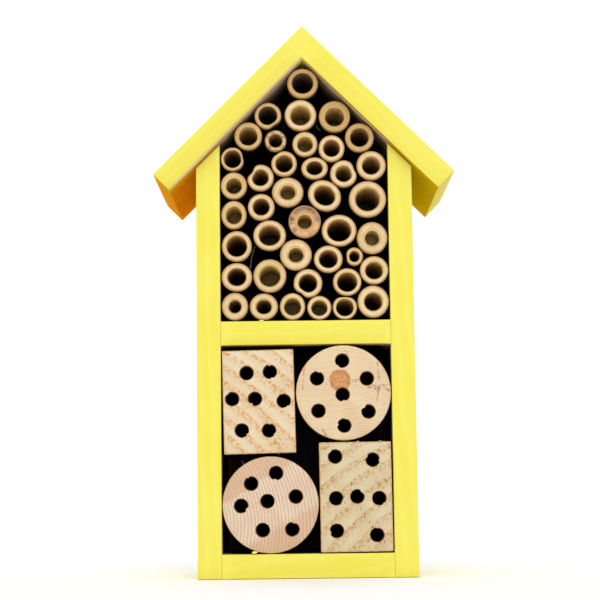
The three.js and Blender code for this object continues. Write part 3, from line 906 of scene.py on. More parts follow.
# %% Smooth loops and rows of points
def smooth_loop(points, count):
    """A smooth closed curve through a ring of points, as complex numbers x + zi."""
    ring = [complex(*p) for p in points]
    middle = sum(ring) / len(ring)
    tenth_turn = math.pi / 10
    ring.sort(key=lambda p: (np.angle(p - middle) + tenth_turn) % (2 * math.pi))
    series = np.fft.fft(ring)
    half = len(ring) // 2
    finer = np.zeros(count, complex)
    finer[:half] = series[:half]
    finer[-half:] = series[-half:]
    return np.fft.ifft(finer) * count / len(ring)


def grow(loop, amount):
    """Moves a loop outwards by an amount, or inwards if it is negative."""
    tangent = np.roll(loop, -1) - np.roll(loop, 1)
    return loop - 1j * tangent / np.abs(tangent) * amount


def add_row(bm, loop, depth):
    """One ring of points; depth is one value or one for each point."""
    depths = np.broadcast_to(depth, loop.shape)
    return [bm.verts.new((p.real, y, p.imag)) for p, y in zip(loop, depths)]


def close_row(bm, row, depth, surface=0):
    """Closes a ring with triangles to its middle, at the depth given."""
    middle = sum((v.co for v in row), Vector()) / len(row)
    fan(bm, row, (middle.x, depth, middle.z), surface)


# %% Building a stem
STEM_POINTS = 72
SKIN, CUT, BORE = 0, 1, 2
RIM_ROUNDING = 0.45 * MM
LIP = 0.3 * MM
SKIN_SINK = 0.12 * MM
NODE_SWELL = 0.22 * MM
SAW_WAVE = 0.08 * MM
ACROSS_THE_CUT = (0.86, 0.7, 0.5, 0.3, 0.14)
DOWN_THE_BORE = (0.02, 0.08, 0.2, 0.35, 0.5, 0.65, 0.8, 0.9, 0.96)
OVER_THE_NODE = (0.93, 0.8, 0.6, 0.4, 0.2)


def bumps(loop, seed, size):
    """Smooth noise from -1 to 1 at each point of a loop."""
    return np.array([noise.noise(Vector((p.real, p.imag, seed)) / size) for p in loop])


def stem_bmesh(node, marks, luck):
    """A bamboo stem with a rounded rim, a sawn end, a bore and the node that closes it. marks
    are the values that hold for the whole stem."""
    tone = marks["tone"]
    front, bore_end, back = planes(node)
    outer = smooth_loop(points_at(node, back), STEM_POINTS)
    bore = smooth_loop(points_at(node, bore_end), STEM_POINTS)
    middle = bore.mean()
    bm = bmesh.new()
    wall = bm.verts.layers.float.new("wall")
    lining = bm.verts.layers.float.new("node")

    def row(loop, depth, wall_value, node_value=0.0):
        made = add_row(bm, loop, depth)
        for vert in made:
            vert[wall] = wall_value
            vert[lining] = node_value
        return made

    ridge = bore_end + luck.uniform(-2, 2) * MM
    skin_depths = np.concatenate([np.linspace(back - 0.3 * MM, front + 12 * MM, 14),
                                  [front + 6 * MM, front + 2 * MM, front + RIM_ROUNDING]])
    rows = [row(grow(outer, -0.3 * MM), back, 1.0)]
    for depth in skin_depths:
        swell = NODE_SWELL * math.exp(-((depth - ridge) / (2 * MM)) ** 2) - SKIN_SINK
        rows.append(row(grow(outer, swell), depth, 1.0))
    skin_rows = len(rows)

    saw = bumps(outer, tone, 3 * MM) * SAW_WAVE
    for turn in np.radians((30, 60, 90)):
        shrink = SKIN_SINK + RIM_ROUNDING * (1 - math.cos(turn))
        depth = front + RIM_ROUNDING * (1 - math.sin(turn)) + saw * math.sin(turn)
        rows.append(row(grow(outer, -shrink), depth, 1.0))
    inner_lip = grow(bore, LIP)
    rim = grow(outer, -SKIN_SINK - RIM_ROUNDING)
    for share in ACROSS_THE_CUT:
        rows.append(row(inner_lip + (rim - inner_lip) * share, front + saw * share, share))
    rows.append(row(inner_lip, front, 0.0))
    cut_rows = len(rows)

    rows.append(row(grow(bore, 0.08 * MM), front + LIP * 0.5, 0.0))
    depth_of_bore = bore_end - front
    for share in DOWN_THE_BORE:
        sag = grow(bore, luck.uniform(-0.12, 0.05) * MM)
        depth = front + max(LIP, depth_of_bore * share)
        rows.append(row(sag, depth, 0.0, step_up(share, 0.7, 0.95)))
    dish = luck.uniform(0.5, 1.6) * MM
    for share in OVER_THE_NODE:
        depth = bore_end - dish * (1 - share ** 2) - 0.25 * MM * (1 + bumps(bore, tone + share, 2 * MM))
        rows.append(row(middle + (bore - middle) * share, depth, 0.0, 1.0))

    join_all(bm, rows[:skin_rows + 1], SKIN)
    join_all(bm, rows[skin_rows:cut_rows], CUT)
    join_all(bm, rows[cut_rows - 1:], BORE)
    close_row(bm, rows[0], back, SKIN)
    close_row(bm, rows[-1], bore_end - dish - 0.2 * MM, BORE)
    for vert in bm.verts[-1:]:
        vert[lining] = 1.0
    shift = Vector((luck.uniform(-1, 1), luck.uniform(-1, 1), luck.uniform(-1, 1)))
    carry(bm, "grain", lambda v: Vector((v.co.y - front, v.co.x, v.co.z)) + shift, True)
    bore_radius = np.abs(bore - middle).mean()

    def around(vert):
        """The direction from the stem's middle, which fades to nothing towards the middle."""
        arm = Vector((vert.co.x - middle.real, 0, vert.co.z - middle.imag)) / bore_radius
        return arm / max(1.0, arm.length)

    carry(bm, "around", around, True)
    carry(bm, "inset", lambda v: max(0.0, v.co.y - front - LIP))
    for name, value in marks.items():
        carry(bm, name, lambda v: value)
    return bm


# %% [markdown]
# ### Forty stems
# The stems are named by rows from the ridge down to the shelf. Those nearest the roof are
# painted more golden, as painted shade from the roof, and stems 1, 4 and 9 most, partly for the
# shade of its overhang. One stem was cut through its own node, where the wood is
# stained purple brown, and one thin one is mottled: both show as the CAD places them. Some
# bores end at a node wall near the mouth and are painted pale, as painted light, and others
# are painted darker inside, as painted shade.

# %% Making the stems
STAINED_STEM = "bamboo_stem_22"
MOTTLED_STEM = "bamboo_stem_06"
# GOLDEN_STEMS makes single stems more golden; for stems 1, 4 and 9 this is partly painted shade from the
# roof's overhang.
GOLDEN_STEMS = {1: 0.95, 4: 0.9, 9: 0.8, 2: 0.35, 5: 0.3, 10: 0.3, 16: 0.25, 20: 0.2, 31: 0.25, 35: 0.2}
# PALE_BORES paint a bore's lining lighter, as painted light, and DARK_BORES paint it darker, as painted
# shade.
PALE_BORES = {3: 0.9, 4: 0.7, 5: 0.5, 7: 0.9, 14: 0.5, 15: 0.4, 16: 0.9, 17: 0.8, 19: 0.4, 20: 1.0,
              22: 1.0, 23: 0.4, 25: 1.0, 27: 0.9, 31: 1.0, 32: 0.7, 34: 0.4, 35: 0.5, 36: 0.5, 37: 1.0,
              38: 1.0, 39: 0.6, 40: 0.7}
DARK_BORES = {1: 0.7, 2: 0.7, 6: 0.3, 9: 0.3, 10: 0.5, 12: 0.45, 21: 0.2, 29: 0.25, 30: 0.25, 33: 0.25}
stems = sorted(name for name in frame["nodes"] if name.startswith("bamboo_stem"))
for number, node in enumerate(stems, start=1):
    luck = random.Random(99 + number)
    height_share = (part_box(node)[0].z - inner_low.z) / (roof_apex - inner_low.z)
    # Painted shade from the roof: stems higher up are painted more golden.
    roof_shade = 0.12 * step_up(height_share, 0.5, 1.0)
    marks = {
        "tone": roof_shade + luck.uniform(0.0, 0.35) + GOLDEN_STEMS.get(number, 0.0),
        "pale": PALE_BORES.get(number, 0.0) - DARK_BORES.get(number, 0.0),
        "stain": float(node == STAINED_STEM),
        "mottle": float(node == MOTTLED_STEM),
    }
    bm = stem_bmesh(node, marks, luck)
    add_piece(node + "_sawn", bm, BAMBOO, [node], sharp=50)
print("made", len(stems), "stems")

# %% [markdown]
# ## Sawn end grain
# The four blocks show their sawn ends, and no two are alike. Two are cut from a plank whose
# pith lay far outside it, so the rings cross them as slanting bands of cream and orange late
# wood. Two are slices of a pole turned to a cylinder, closer to the pith, pinker, and combed
# by the saw. One material maker serves all four: what differs is where the pith was, how wide
# the rings are, which colours they have and which way the saw went.

# %% Material maker: sawn end grain
SIDE_GRAIN = srgb(214, 182, 134)
SIDE_LATE_WOOD = srgb(196, 150, 94)
# The drilled hole's wall has darker wood colours than the block's sides: painted shade in the holes.
HOLE_WALL = srgb(150, 108, 66)
HOLE_SHADE_LATE = srgb(96, 62, 34)


def end_grain(name, early, late, pith, ring_width, wander, band, grainy, saw_across, saw_spacing,
              saw_show, fleck=None, fleck_share=0.0, after=None):
    """A sawn end. band says how strongly the late wood shows and grainy how much it is broken
    up, and after may add a knot or cracks to the colour."""
    material, tree, shader = start_material(name)
    here = attribute(tree, "grain", "Vector")
    rings = place(tree, "growth rings", {"Vector": here, "Pith": pith, "Ring Width": ring_width,
                                         "Wander": wander, "Sharpness": 0.35})
    fibres = place(tree, "fibres", {"Vector": here, "Fineness": 900.0, "Stretch": 0.02})
    saw = place(tree, "saw marks", {"Vector": here, "Across": saw_across, "Spacing": saw_spacing,
                                    "Waver": 1.5})
    torn = place(tree, "blotches", {"Vector": here, "Size": 1.7 * MM, "Contrast": 0.8})["Mask"]
    broad = place(tree, "blotches", {"Vector": here, "Size": 16 * MM, "Contrast": 0.1})["Mask"]
    pale = mix(tree, calc(tree, "MULTIPLY", broad, 0.3), early, late)
    bands = calc(tree, "MULTIPLY", rings["Late Wood"], step(tree, torn, 0.0, 1.0, 1.0 - grainy, 1.0))
    color = mix(tree, calc(tree, "MULTIPLY", bands, band), pale, late)
    color = mix(tree, calc(tree, "MULTIPLY", saw["Line"], saw_show), color, late)
    grains = step(tree, fibres["Fine Streak"], 0.52, 0.75)
    color = mix(tree, calc(tree, "MULTIPLY", grains, 0.35), color, late)
    if fleck:
        dots = place(tree, "flecks", {"Vector": here, "Size": 1.2 * MM, "Share": fleck_share})["Mask"]
        dots = calc(tree, "MULTIPLY", dots, calc(tree, "MAXIMUM", bands, step(tree, broad, 0.6, 1.0)))
        color = mix(tree, calc(tree, "MULTIPLY", dots, 0.8), color, fleck)
    if after:
        color = after(tree, here, color)
    height = calc(tree, "MULTIPLY", saw["Depth"], 0.05 * MM)
    height = calc(tree, "MULTIPLY_ADD", fibres["Fine Streak"], 0.12 * MM, height)
    height = calc(tree, "MULTIPLY_ADD", rings["Late Wood"], 0.06 * MM, height)
    rough = calc(tree, "MULTIPLY_ADD", bands, -0.15, 0.82)
    finish_material(tree, shader, color, rough, height)
    return material


def inside_wood(name, color_early, color_late, reach):
    """Wood that goes back into the box: the sides of a block, or the wall of a drilled hole."""
    material, tree, shader = start_material(name)
    here = attribute(tree, "grain", "Vector")
    rings = place(tree, "growth rings", {"Vector": here, "Pith": (0, 0.06, 0.05), "Ring Width": 3 * MM})
    fibres = place(tree, "fibres", {"Vector": here, "Fineness": 1300.0})
    color = mix(tree, rings["Late Wood"], color_early, color_late)
    color = mix(tree, calc(tree, "MULTIPLY", fibres["Streak"], 0.5), color, color_late)
    # Painted shade: darker the further back into the box, or into the hole.
    color = darken_inside(tree, color, attribute(tree, "inset"), reach)
    height = calc(tree, "MULTIPLY", fibres["Streak"], 0.1 * MM)
    finish_material(tree, shader, color, step(tree, fibres["Streak"], 0.0, 1.0, 0.7, 0.9), height)
    return material


BLOCK_SIDE = inside_wood("block side", SIDE_GRAIN, SIDE_LATE_WOOD, 8 * MM)
DRILLED = inside_wood("drilled hole", HOLE_WALL, HOLE_SHADE_LATE, 6 * MM)

# %% [markdown]
# ### A knot and its cracks
# The upper round block was cut through a small side branch. It shows as an orange mottled
# disc, and fine resin cracks run beside it towards the rim. Paint from the shelf has smeared
# its top edge. Their places are given from the middle of the block, in millimetres to the
# right and up, because that is how a person would describe them.

# %% The marks on single blocks
KNOT_RIM = srgb(160, 84, 38)
KNOT_HEART = srgb(216, 154, 88)
RESIN = srgb(150, 82, 62)
KNOT_PLACE = (0, -1.6 * MM, 5.9 * MM)
KNOT_RADIUS = 5.2 * MM
BLOCK_RIM = 22.3 * MM


CRACKS = (      # where each starts, how far it runs, and its width
    ((3.6, 5.6), (4.3, 0.6), 0.5),
    ((4.2, 4.8), (3.6, 0.2), 0.35),
    ((11.8, 3.0), (4.8, -1.2), 1.5),
    ((16.3, 14.5), (0.4, -8.5), 0.55),
    ((16.6, 2.0), (-1.0, -5.4), 0.85),
    ((16.9, 3.4), (4.2, 0.2), 0.6),
    ((19.4, 2.5), (2.8, -2.4), 0.9),
    ((1.3, 19.9), (0.9, -2.2), 0.6),
    ((-18.4, 13.6), (-1.0, -12), 0.45),
    ((-10, -17.5), (1.8, -3.4), 0.7),
)
DARK_PINK = srgb(196, 146, 106)


def knot_and_cracks(tree, here, color):
    """The knot, the resin in the cracks and the smear of paint on the top edge."""
    centre = {"Vector": here, "Pith": KNOT_PLACE, "Ring Width": 1.5 * MM, "Wander": 5 * MM}
    own_rings = place(tree, "growth rings", centre)["Late Wood"]
    mottled = place(tree, "blotches", {"Vector": here, "Size": 1.5 * MM, "Contrast": 0.6})["Mask"]
    flat = vector_calc(tree, "MULTIPLY", vector_calc(tree, "SUBTRACT", here, KNOT_PLACE), (0, 1, 1))
    distance = vector_calc(tree, "LENGTH", flat, output="Value")
    uneven = calc(tree, "MULTIPLY_ADD", speckle(tree, here, 520.0), 2.4 * MM, distance)
    knot = step(tree, uneven, KNOT_RADIUS + 0.6 * MM, KNOT_RADIUS + 1.6 * MM, 1.0, 0.0)
    outwards = step(tree, distance, 2 * MM, KNOT_RADIUS, 0.0, 0.3)
    shade = calc(tree, "MULTIPLY_ADD", own_rings, 0.15, outwards)
    shade = calc(tree, "MULTIPLY_ADD", mottled, 0.5, shade)
    color = mix(tree, calc(tree, "MULTIPLY", knot, 0.92), color, mix(tree, shade, KNOT_HEART, KNOT_RIM))

    broken = step(tree, speckle(tree, here, 760.0, 3.0), 0.34, 0.58)
    for (right, up), (run, climb), width in CRACKS:
        crack = {"Vector": here, "Start": (0, right * MM, up * MM),
                 "Reach": (0, run * MM, climb * MM), "Width": width * MM, "Waver": 1.6 * MM}
        mask = calc(tree, "MULTIPLY", place(tree, "line stain", crack)["Mask"], broken)
        color = mix(tree, calc(tree, "MULTIPLY", mask, 0.6), color, RESIN)

    height_up = add(tree, "ShaderNodeSeparateXYZ", {"Vector": here}).outputs["Z"]
    wavy = calc(tree, "MULTIPLY_ADD", speckle(tree, here, 260.0), 1.2 * MM, height_up)
    smear = step(tree, wavy, BLOCK_RIM, BLOCK_RIM + 0.5 * MM)
    return mix(tree, smear, color, PAINT)


def darker_corner(tree, here, color):
    """The upper left of the lower round block is a darker pink, with a straight lower edge."""
    side = vector_calc(tree, "DOT_PRODUCT", here, (0, -0.5, 0.87), output="Value")
    wavy = calc(tree, "MULTIPLY_ADD", speckle(tree, here, 120.0), 6 * MM, side)
    corner = step(tree, wavy, 14 * MM, 15 * MM)
    low_side = step(tree, calc(tree, "MULTIPLY", side, -1.0), 9 * MM, 13 * MM)
    mask = calc(tree, "MULTIPLY", calc(tree, "MAXIMUM", corner, low_side), 0.45)
    return mix(tree, mask, color, DARK_PINK)


# %% The four sawn ends
SAWN_ENDS = {
    "square_block_upper": end_grain(
        "pine end, orange bands", early=srgb(226, 211, 180), late=srgb(210, 156, 90),
        pith=(0, -70 * MM, -85 * MM), ring_width=6.4 * MM, wander=7 * MM, band=0.9, grainy=0.85,
        saw_across=(0, 0.75, 0.66), saw_spacing=0.75 * MM, saw_show=0.12,
        fleck=srgb(198, 132, 66), fleck_share=0.3),
    "round_block_upper": end_grain(
        "pine end, knot", early=srgb(226, 205, 168), late=srgb(204, 158, 118),
        pith=(0, -20 * MM, 120 * MM), ring_width=2.6 * MM, wander=4 * MM, band=0.12, grainy=0.4,
        saw_across=(0, 0.1, 0.99), saw_spacing=1.25 * MM, saw_show=0.4, after=knot_and_cracks),
    "round_block_lower": end_grain(
        "pine end, combed", early=srgb(228, 210, 186), late=srgb(196, 152, 120),
        pith=(0, -54 * MM, -10 * MM), ring_width=1.62 * MM, wander=2.5 * MM, band=0.75, grainy=0.25,
        saw_across=(0, 0.97, 0.26), saw_spacing=1.3 * MM, saw_show=0.1, after=darker_corner),
    "square_block_lower": end_grain(
        "pine end, grey bands", early=srgb(214, 202, 168), late=srgb(192, 146, 86),
        pith=(0, 60 * MM, -85 * MM), ring_width=7.4 * MM, wander=7 * MM, band=0.8, grainy=0.8,
        saw_across=(0, -0.55, 0.83), saw_spacing=1.1 * MM, saw_show=0.2,
        fleck=srgb(122, 84, 50), fleck_share=0.18),
}
print("made", len(SAWN_ENDS), "sawn ends")

# %% [markdown]
# ## Drilled blocks
# A boolean could drill these holes, but it leaves long thin faces. Instead the front is filled
# between the outline and the rims, which Blender does in one call, and each hole goes back in
# rows of quads to the cone that the drill's point leaves. A blunt drill tears the rim, so the
# rims and the sawn outline are a little ragged, and here and there a chip bends into the hole.

# %% Reading the holes
def holes_of(node):
    """The centre, radius and end of each blind hole in a block."""
    hole_end = planes(node)[1]
    groups = []
    for point in (Vector(p) for p in points_at(node, hole_end)):
        near = [g for g in groups if any((point - other).length < 2 * MM for other in g)]
        merged = [point] + [other for g in near for other in g]
        groups = [g for g in groups if g not in near] + [merged]
    found = []
    for group in (g for g in groups if len(g) > 2):
        middle = sum(group, Vector((0, 0))) / len(group)
        found.append((complex(*middle), (group[0] - middle).length))
    return sorted(found, key=lambda hole: (-hole[0].imag, hole[0].real)), hole_end


def block_outline(node):
    """A fine closed outline of a block: a circle, or a rectangle with small round corners."""
    corners = [complex(*p) for p in outline_at(node, planes(node)[-1])]
    middle = sum(corners) / len(corners)
    if len(corners) > 8:
        radius = abs(corners[0] - middle)
        turns = np.linspace(0, 2 * math.pi, 160, endpoint=False)
        return middle + radius * np.exp(1j * turns), middle
    points = []
    for i, corner in enumerate(corners):
        before, after = corners[i - 1], corners[(i + 1) % len(corners)]
        to_before = (before - corner) / abs(before - corner)
        to_after = (after - corner) / abs(after - corner)
        points += [corner + 0.5 * MM * to_before, corner + 0.15 * MM * (to_before + to_after),
                   corner + 0.5 * MM * to_after]
        side = after - corner
        count = round(abs(side) / (1.1 * MM))
        points += [corner + side * k / count for k in range(1, count)]
    return np.array(points), middle


print({node: len(holes_of(node)[0]) for node in SAWN_ENDS})

# %% Building a block
END, SIDE, HOLE = 0, 1, 2
HOLE_POINTS = 40


def ragged(loop, size, reach, seed):
    """How far each point of a loop is torn back, from 0 to reach."""
    return reach * (0.5 + 0.5 * bumps(loop, seed, size))


def drill(bm, centre, radius, front, hole_end, luck):
    """Adds the wall of one hole, with a torn rim and a few chips, and returns the rim."""
    turns = np.linspace(0, 2 * math.pi, HOLE_POINTS, endpoint=False)
    circle = np.exp(1j * turns)
    rough = ragged(circle * radius * 3, 1.2 * MM, 0.25 * MM, luck.random())
    chips = np.zeros(HOLE_POINTS)
    for _ in range(luck.choice((0, 1, 1, 2))):
        at = luck.uniform(0, 2 * math.pi)
        off = np.abs(np.angle(np.exp(1j * (turns - at))))
        chips += luck.uniform(0.3, 0.8) * MM * np.exp(-(off / luck.uniform(0.12, 0.25)) ** 2)
    rim = add_row(bm, centre + circle * (radius + 0.2 * MM + rough - chips), front)
    wall = [rim, add_row(bm, centre + circle * (radius + rough * 0.4 - chips), front + 0.25 * MM),
            add_row(bm, centre + circle * (radius - chips * 0.5), front + 1.2 * MM)]
    for depth in np.linspace(front + 4 * MM, hole_end - radius * 0.6, 5):
        wobble = luck.uniform(-0.06, 0.0) * MM
        wall.append(add_row(bm, centre + circle * (radius + wobble), depth))
    join_all(bm, wall, HOLE)
    close_row(bm, wall[-1], hole_end, HOLE)
    return rim


def block_bmesh(node, roughness, luck):
    """A block with ragged sawn edges and its drilled holes."""
    front, _, back = planes(node)
    holes, hole_end = holes_of(node)
    outline, middle = block_outline(node)
    bm = bmesh.new()
    torn = ragged(outline, 1.5 * MM, roughness, luck.random())
    face_row = add_row(bm, grow(outline, -0.35 * MM - torn), front)
    rows = [face_row, add_row(bm, grow(outline, -0.1 * MM - torn * 0.6), front + 0.15 * MM)]
    for depth in np.linspace(front + 0.6 * MM, back - 0.5 * MM, 8):
        rows.append(add_row(bm, grow(outline, -ragged(outline, 12 * MM, 0.15 * MM, depth)), depth))
    rows.append(add_row(bm, grow(outline, -0.4 * MM), back))
    join_all(bm, rows, SIDE)
    close_row(bm, rows[-1], back, SIDE)
    rims = [drill(bm, centre, radius, front, hole_end, luck) for centre, radius in holes]
    edges = []
    for ring in [face_row, *rims]:
        edges += [bm.edges.get((ring[i - 1], ring[i])) for i in range(len(ring))]
    filled = bmesh.ops.triangle_fill(bm, use_beauty=True, edges=edges)["geom"]
    for face in (f for f in filled if isinstance(f, bmesh.types.BMFace)):
        face.material_index = END
    corner = Vector((middle.real, front, middle.imag))
    carry(bm, "grain", lambda v: (v.co - corner).yxz, True)
    carry(bm, "inset", lambda v: max(0.0, v.co.y - front - 0.3 * MM))
    return bm


# %% Making the blocks
SAW_ROUGHNESS = {"square_block_upper": 0.3 * MM, "square_block_lower": 0.6 * MM}
for number, (node, sawn_end) in enumerate(SAWN_ENDS.items()):
    bm = block_bmesh(node, SAW_ROUGHNESS.get(node, 0.12 * MM), random.Random(500 + number))
    add_piece(node + "_drilled", bm, [sawn_end, BLOCK_SIDE, DRILLED], [node])
print("made the blocks")

# %% [markdown]
# ## The back panel
# The back is plywood: five thin sheets of wood glued with their grain crossed. From behind one
# sees the smooth outer sheet with long grain, and at its edge the layers, light and dark in
# turn. One number tells them apart, the depth through the panel, so the material asks for the
# depth and for how far the surface faces sideways.

# %% Material: plywood
VENEER = srgb(222, 190, 144)
VENEER_LATE = srgb(190, 146, 98)
PLY_EDGE = srgb(150, 108, 68)
PLIES = 5


def plywood():
    material, tree, shader = start_material("plywood")
    here = attribute(tree, "grain", "Vector")
    rings = place(tree, "growth rings", {"Vector": here, "Pith": (0, 0.01, 0.03), "Ring Width": 2.6 * MM,
                                         "Wander": 7 * MM, "Sharpness": 0.3})
    fibres = place(tree, "fibres", {"Vector": here, "Fineness": 1400.0})
    broad = place(tree, "blotches", {"Vector": here, "Size": 30 * MM, "Contrast": 0.1})["Mask"]
    stretched = vector_calc(tree, "MULTIPLY", here, (0.3, 1, 1))
    dots = place(tree, "flecks", {"Vector": stretched, "Size": 1.6 * MM, "Share": 0.02})["Mask"]
    color = mix(tree, calc(tree, "MULTIPLY", rings["Late Wood"], 0.6), VENEER, VENEER_LATE)
    color = mix(tree, calc(tree, "MULTIPLY", fibres["Streak"], 0.45), color, VENEER_LATE)
    color = mix(tree, calc(tree, "MULTIPLY", broad, 0.2), color, VENEER_LATE)
    color = mix(tree, calc(tree, "MULTIPLY", dots, 0.5), color, PLY_EDGE)
    layer = calc(tree, "FRACT", calc(tree, "MULTIPLY", attribute(tree, "ply"), PLIES / 2))
    dark_ply = calc(tree, "MULTIPLY", calc(tree, "GREATER_THAN", layer, 0.5), attribute(tree, "sawn"))
    color = mix(tree, calc(tree, "MULTIPLY", dark_ply, 0.7), color, PLY_EDGE)
    # Painted shade on the panel's face towards the inside of the house.
    color = darken_inside(tree, color, attribute(tree, "inset"), 10 * MM)
    height = calc(tree, "MULTIPLY", fibres["Streak"], 0.05 * MM)
    height = calc(tree, "MULTIPLY_ADD", rings["Late Wood"], 0.03 * MM, height)
    finish_material(tree, shader, color, step(tree, fibres["Fine Streak"], 0.3, 0.7, 0.6, 0.75), height)
    return material


PLYWOOD = plywood()
print("made", PLYWOOD.name, "with", PLIES, "plies")

# %% Making the panel
PLY_ROUNDING = 0.25 * MM
PANEL_GRAIN = (UP, SIDEWAYS, BACKWARDS)
panel_depths = planes("back_panel")
panel_front, panel_back = panel_depths[0], panel_depths[-1]
bm = prism(outline_at("back_panel", panel_front), panel_front, panel_back)
bmesh.ops.bevel(bm, geom=list(bm.edges), offset=PLY_ROUNDING, segments=2, affect="EDGES")
slice_up(bm, UP, 12 * MM)
slice_up(bm, SIDEWAYS, 12 * MM)
bm.normal_update()
carry(bm, "grain", lambda v: Vector([v.co.dot(axis) for axis in PANEL_GRAIN]), True)
carry(bm, "ply", lambda v: (v.co.y - panel_front) / (panel_back - panel_front))
carry(bm, "sawn", lambda v: 1.0 - abs(v.normal.y))
# Painted shade: the face towards the inside of the house is painted nearly black.
carry(bm, "inset", lambda v: 10 * MM * step_up(-v.normal.y, 0.3, 0.9))
for vert in bm.verts:
    vert.co.y -= inward(vert.co, 45 * MM, 0.25 * MM) * step_up(vert.normal.y, 0.3, 0.9)
add_piece("back_panel_plywood", bm, [PLYWOOD], ["back_panel"])
print("the panel is", round((panel_back - panel_front) / MM, 1), "mm thick")

# %% [markdown]
# ## Nails
# Six nails hold the roof, and their heads sit in the sinkings made above. Eight more go through
# the side boards into the ends of the shelf and the floor, and small panel pins hold the back.
# The joiner nailed first and painted afterwards, so on the outside boards the heads are mostly
# yellow, with steel only where the paint has chipped. The pins at the back are bare.

# %% Materials: painted steel and bare zinc
STEEL = srgb(150, 148, 144)
STEEL_DULL = srgb(112, 108, 104)


def metal(name, light, dull, paint_share):
    """Zinc-plated steel with dull blotches and, where it was painted over, chipped paint."""
    material, tree, shader = start_material(name)
    here = add(tree, "ShaderNodeTexCoord").outputs["Object"]
    cloud = place(tree, "blotches", {"Vector": here, "Size": 1.6 * MM, "Contrast": 0.2})["Mask"]
    fine = place(tree, "blotches", {"Vector": here, "Size": 0.5 * MM, "Contrast": 0.3})["Mask"]
    scratches = place(tree, "fibres", {"Vector": here, "Fineness": 4000.0, "Stretch": 0.05})
    color = mix(tree, cloud, light, dull)
    rough = step(tree, scratches["Streak"], 0.3, 0.7, 0.26, 0.46)
    rough = calc(tree, "MULTIPLY_ADD", cloud, 0.14, rough)
    height = calc(tree, "MULTIPLY", fine, 0.02 * MM)
    covered = calc(tree, "GREATER_THAN", paint_share, speckle(tree, here, 900.0, 3.0, 0.6))
    color = mix(tree, covered, color, PAINT)
    rough = mix_value(tree, covered, rough, 0.5)
    tree.links.new(calc(tree, "SUBTRACT", 1.0, covered), shader.inputs["Metallic"])
    height = calc(tree, "MULTIPLY_ADD", covered, 0.05 * MM, height)
    finish_material(tree, shader, color, rough, height)
    return material


PAINTED_HEAD = metal("painted nail", STEEL, STEEL_DULL, 0.62)
BARE_PIN = metal("zinc pin", STEEL, STEEL_DULL, 0.0)
ZINC = metal("zinc plate", srgb(196, 198, 202), srgb(158, 160, 166), 0.0)

# %% Turned pieces
DOME = 0.12 * MM


def turned(bm, centre, axis, profile, sides):
    """Adds a turned piece. profile lists (radius, distance along the axis) from one end to the
    other; the ends close on the axis."""
    side = axis.orthogonal().normalized()
    other = axis.cross(side)
    rows = [ring_at(bm, centre + axis * reach, side, other, radius, sides)
            for radius, reach in profile[1:-1]]
    join_all(bm, rows)
    fan(bm, rows[0], centre + axis * profile[0][1])
    fan(bm, rows[-1], centre + axis * profile[-1][1])


def nail_profile(head, length, shank):
    """A wire nail from the middle of its head to its point, with the ribs under the head."""
    ribs = []
    for i in range(4):
        ribs += [(shank, -(1.3 + i * 0.6) * MM), (shank * 0.86, -(1.5 + i * 0.6) * MM)]
    return [(0, DOME), (head * 0.5, DOME * 0.85), (head * 0.86, DOME * 0.4),
            (head, -0.08 * MM), (head, -0.3 * MM), (head * 0.82, -0.5 * MM), (shank, -0.9 * MM),
            *ribs, (shank, -4 * MM), (shank, -length + 2 * MM), (shank * 0.5, -length + 0.9 * MM),
            (0, -length)]


# %% Making the roof nails
SHANK = 0.7 * MM
for name, (centre, axis, radius) in NAILS.items():
    points = [v.co for v in frame["nodes"][name].data.vertices]
    length = centre.dot(axis) - min(p.dot(axis) for p in points)
    bm = bmesh.new()
    turned(bm, centre, axis, nail_profile(radius, length, SHANK), 28)
    add_piece(name + "_driven", bm, [PAINTED_HEAD], [name])
print("the roof nails are", round(length / MM), "mm long")

# %% Making the nails in the side boards and the pins in the panel
PROUD = 0.3 * MM
wall_low, wall_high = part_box("left_side_board")
shelf_low, shelf_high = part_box("shelf")
side_rows = [(shelf_low.z + shelf_high.z) / 2, (inner_low.z + inner_high.z) / 2]
bm = bmesh.new()
for side in (-1, 1):
    for z in side_rows:
        for y in (wall_low.y + 16 * MM, wall_high.y - 20 * MM):
            nudge = Vector((0, chance.uniform(-2, 2), chance.uniform(-1.2, 1.2))) * MM
            face = Vector((side * (abs(wall_low.x) + PROUD * 0.6), y, z)) + nudge
            turned(bm, face, Vector((side, 0, 0)), nail_profile(1.6 * MM, 26 * MM, SHANK), 28)
add_piece("side_nails", bm, [PAINTED_HEAD])

panel_low, panel_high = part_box("back_panel")
PIN_INSET = 4.5 * MM
pins = [(x, z) for x in (panel_low.x + PIN_INSET, panel_high.x - PIN_INSET)
        for z in np.linspace(panel_low.z + PIN_INSET, panel_low.z + 185 * MM, 4)]
pins += [(0, panel_low.z + PIN_INSET)]
pins += [(x, panel_high.z - 29 * MM) for x in (-18 * MM, 18 * MM)]
bm = bmesh.new()
for x, z in pins:
    nudge = Vector((chance.uniform(-1, 1), 0, chance.uniform(-1.5, 1.5))) * MM
    lean = Vector((chance.uniform(-0.04, 0.04), 1, chance.uniform(-0.04, 0.04))).normalized()
    head = Vector((x, panel_back + 0.05 * MM, z)) + nudge
    turned(bm, head, lean, nail_profile(1.1 * MM, 4.6 * MM, 0.5 * MM), 24)
add_piece("panel_pins", bm, [BARE_PIN])
print(4 * len(side_rows), "side nails and", len(pins), "panel pins")

# %% [markdown]
# ## The hanger
# A strap of sheet steel is rolled round the ring and screwed to the panel. Both the strap and
# the ring are one shape carried along a path, so one sweep makes them: a rounded oblong along
# the strap's side view, and a circle along the ring's D. The ring's D comes from its CAD box.

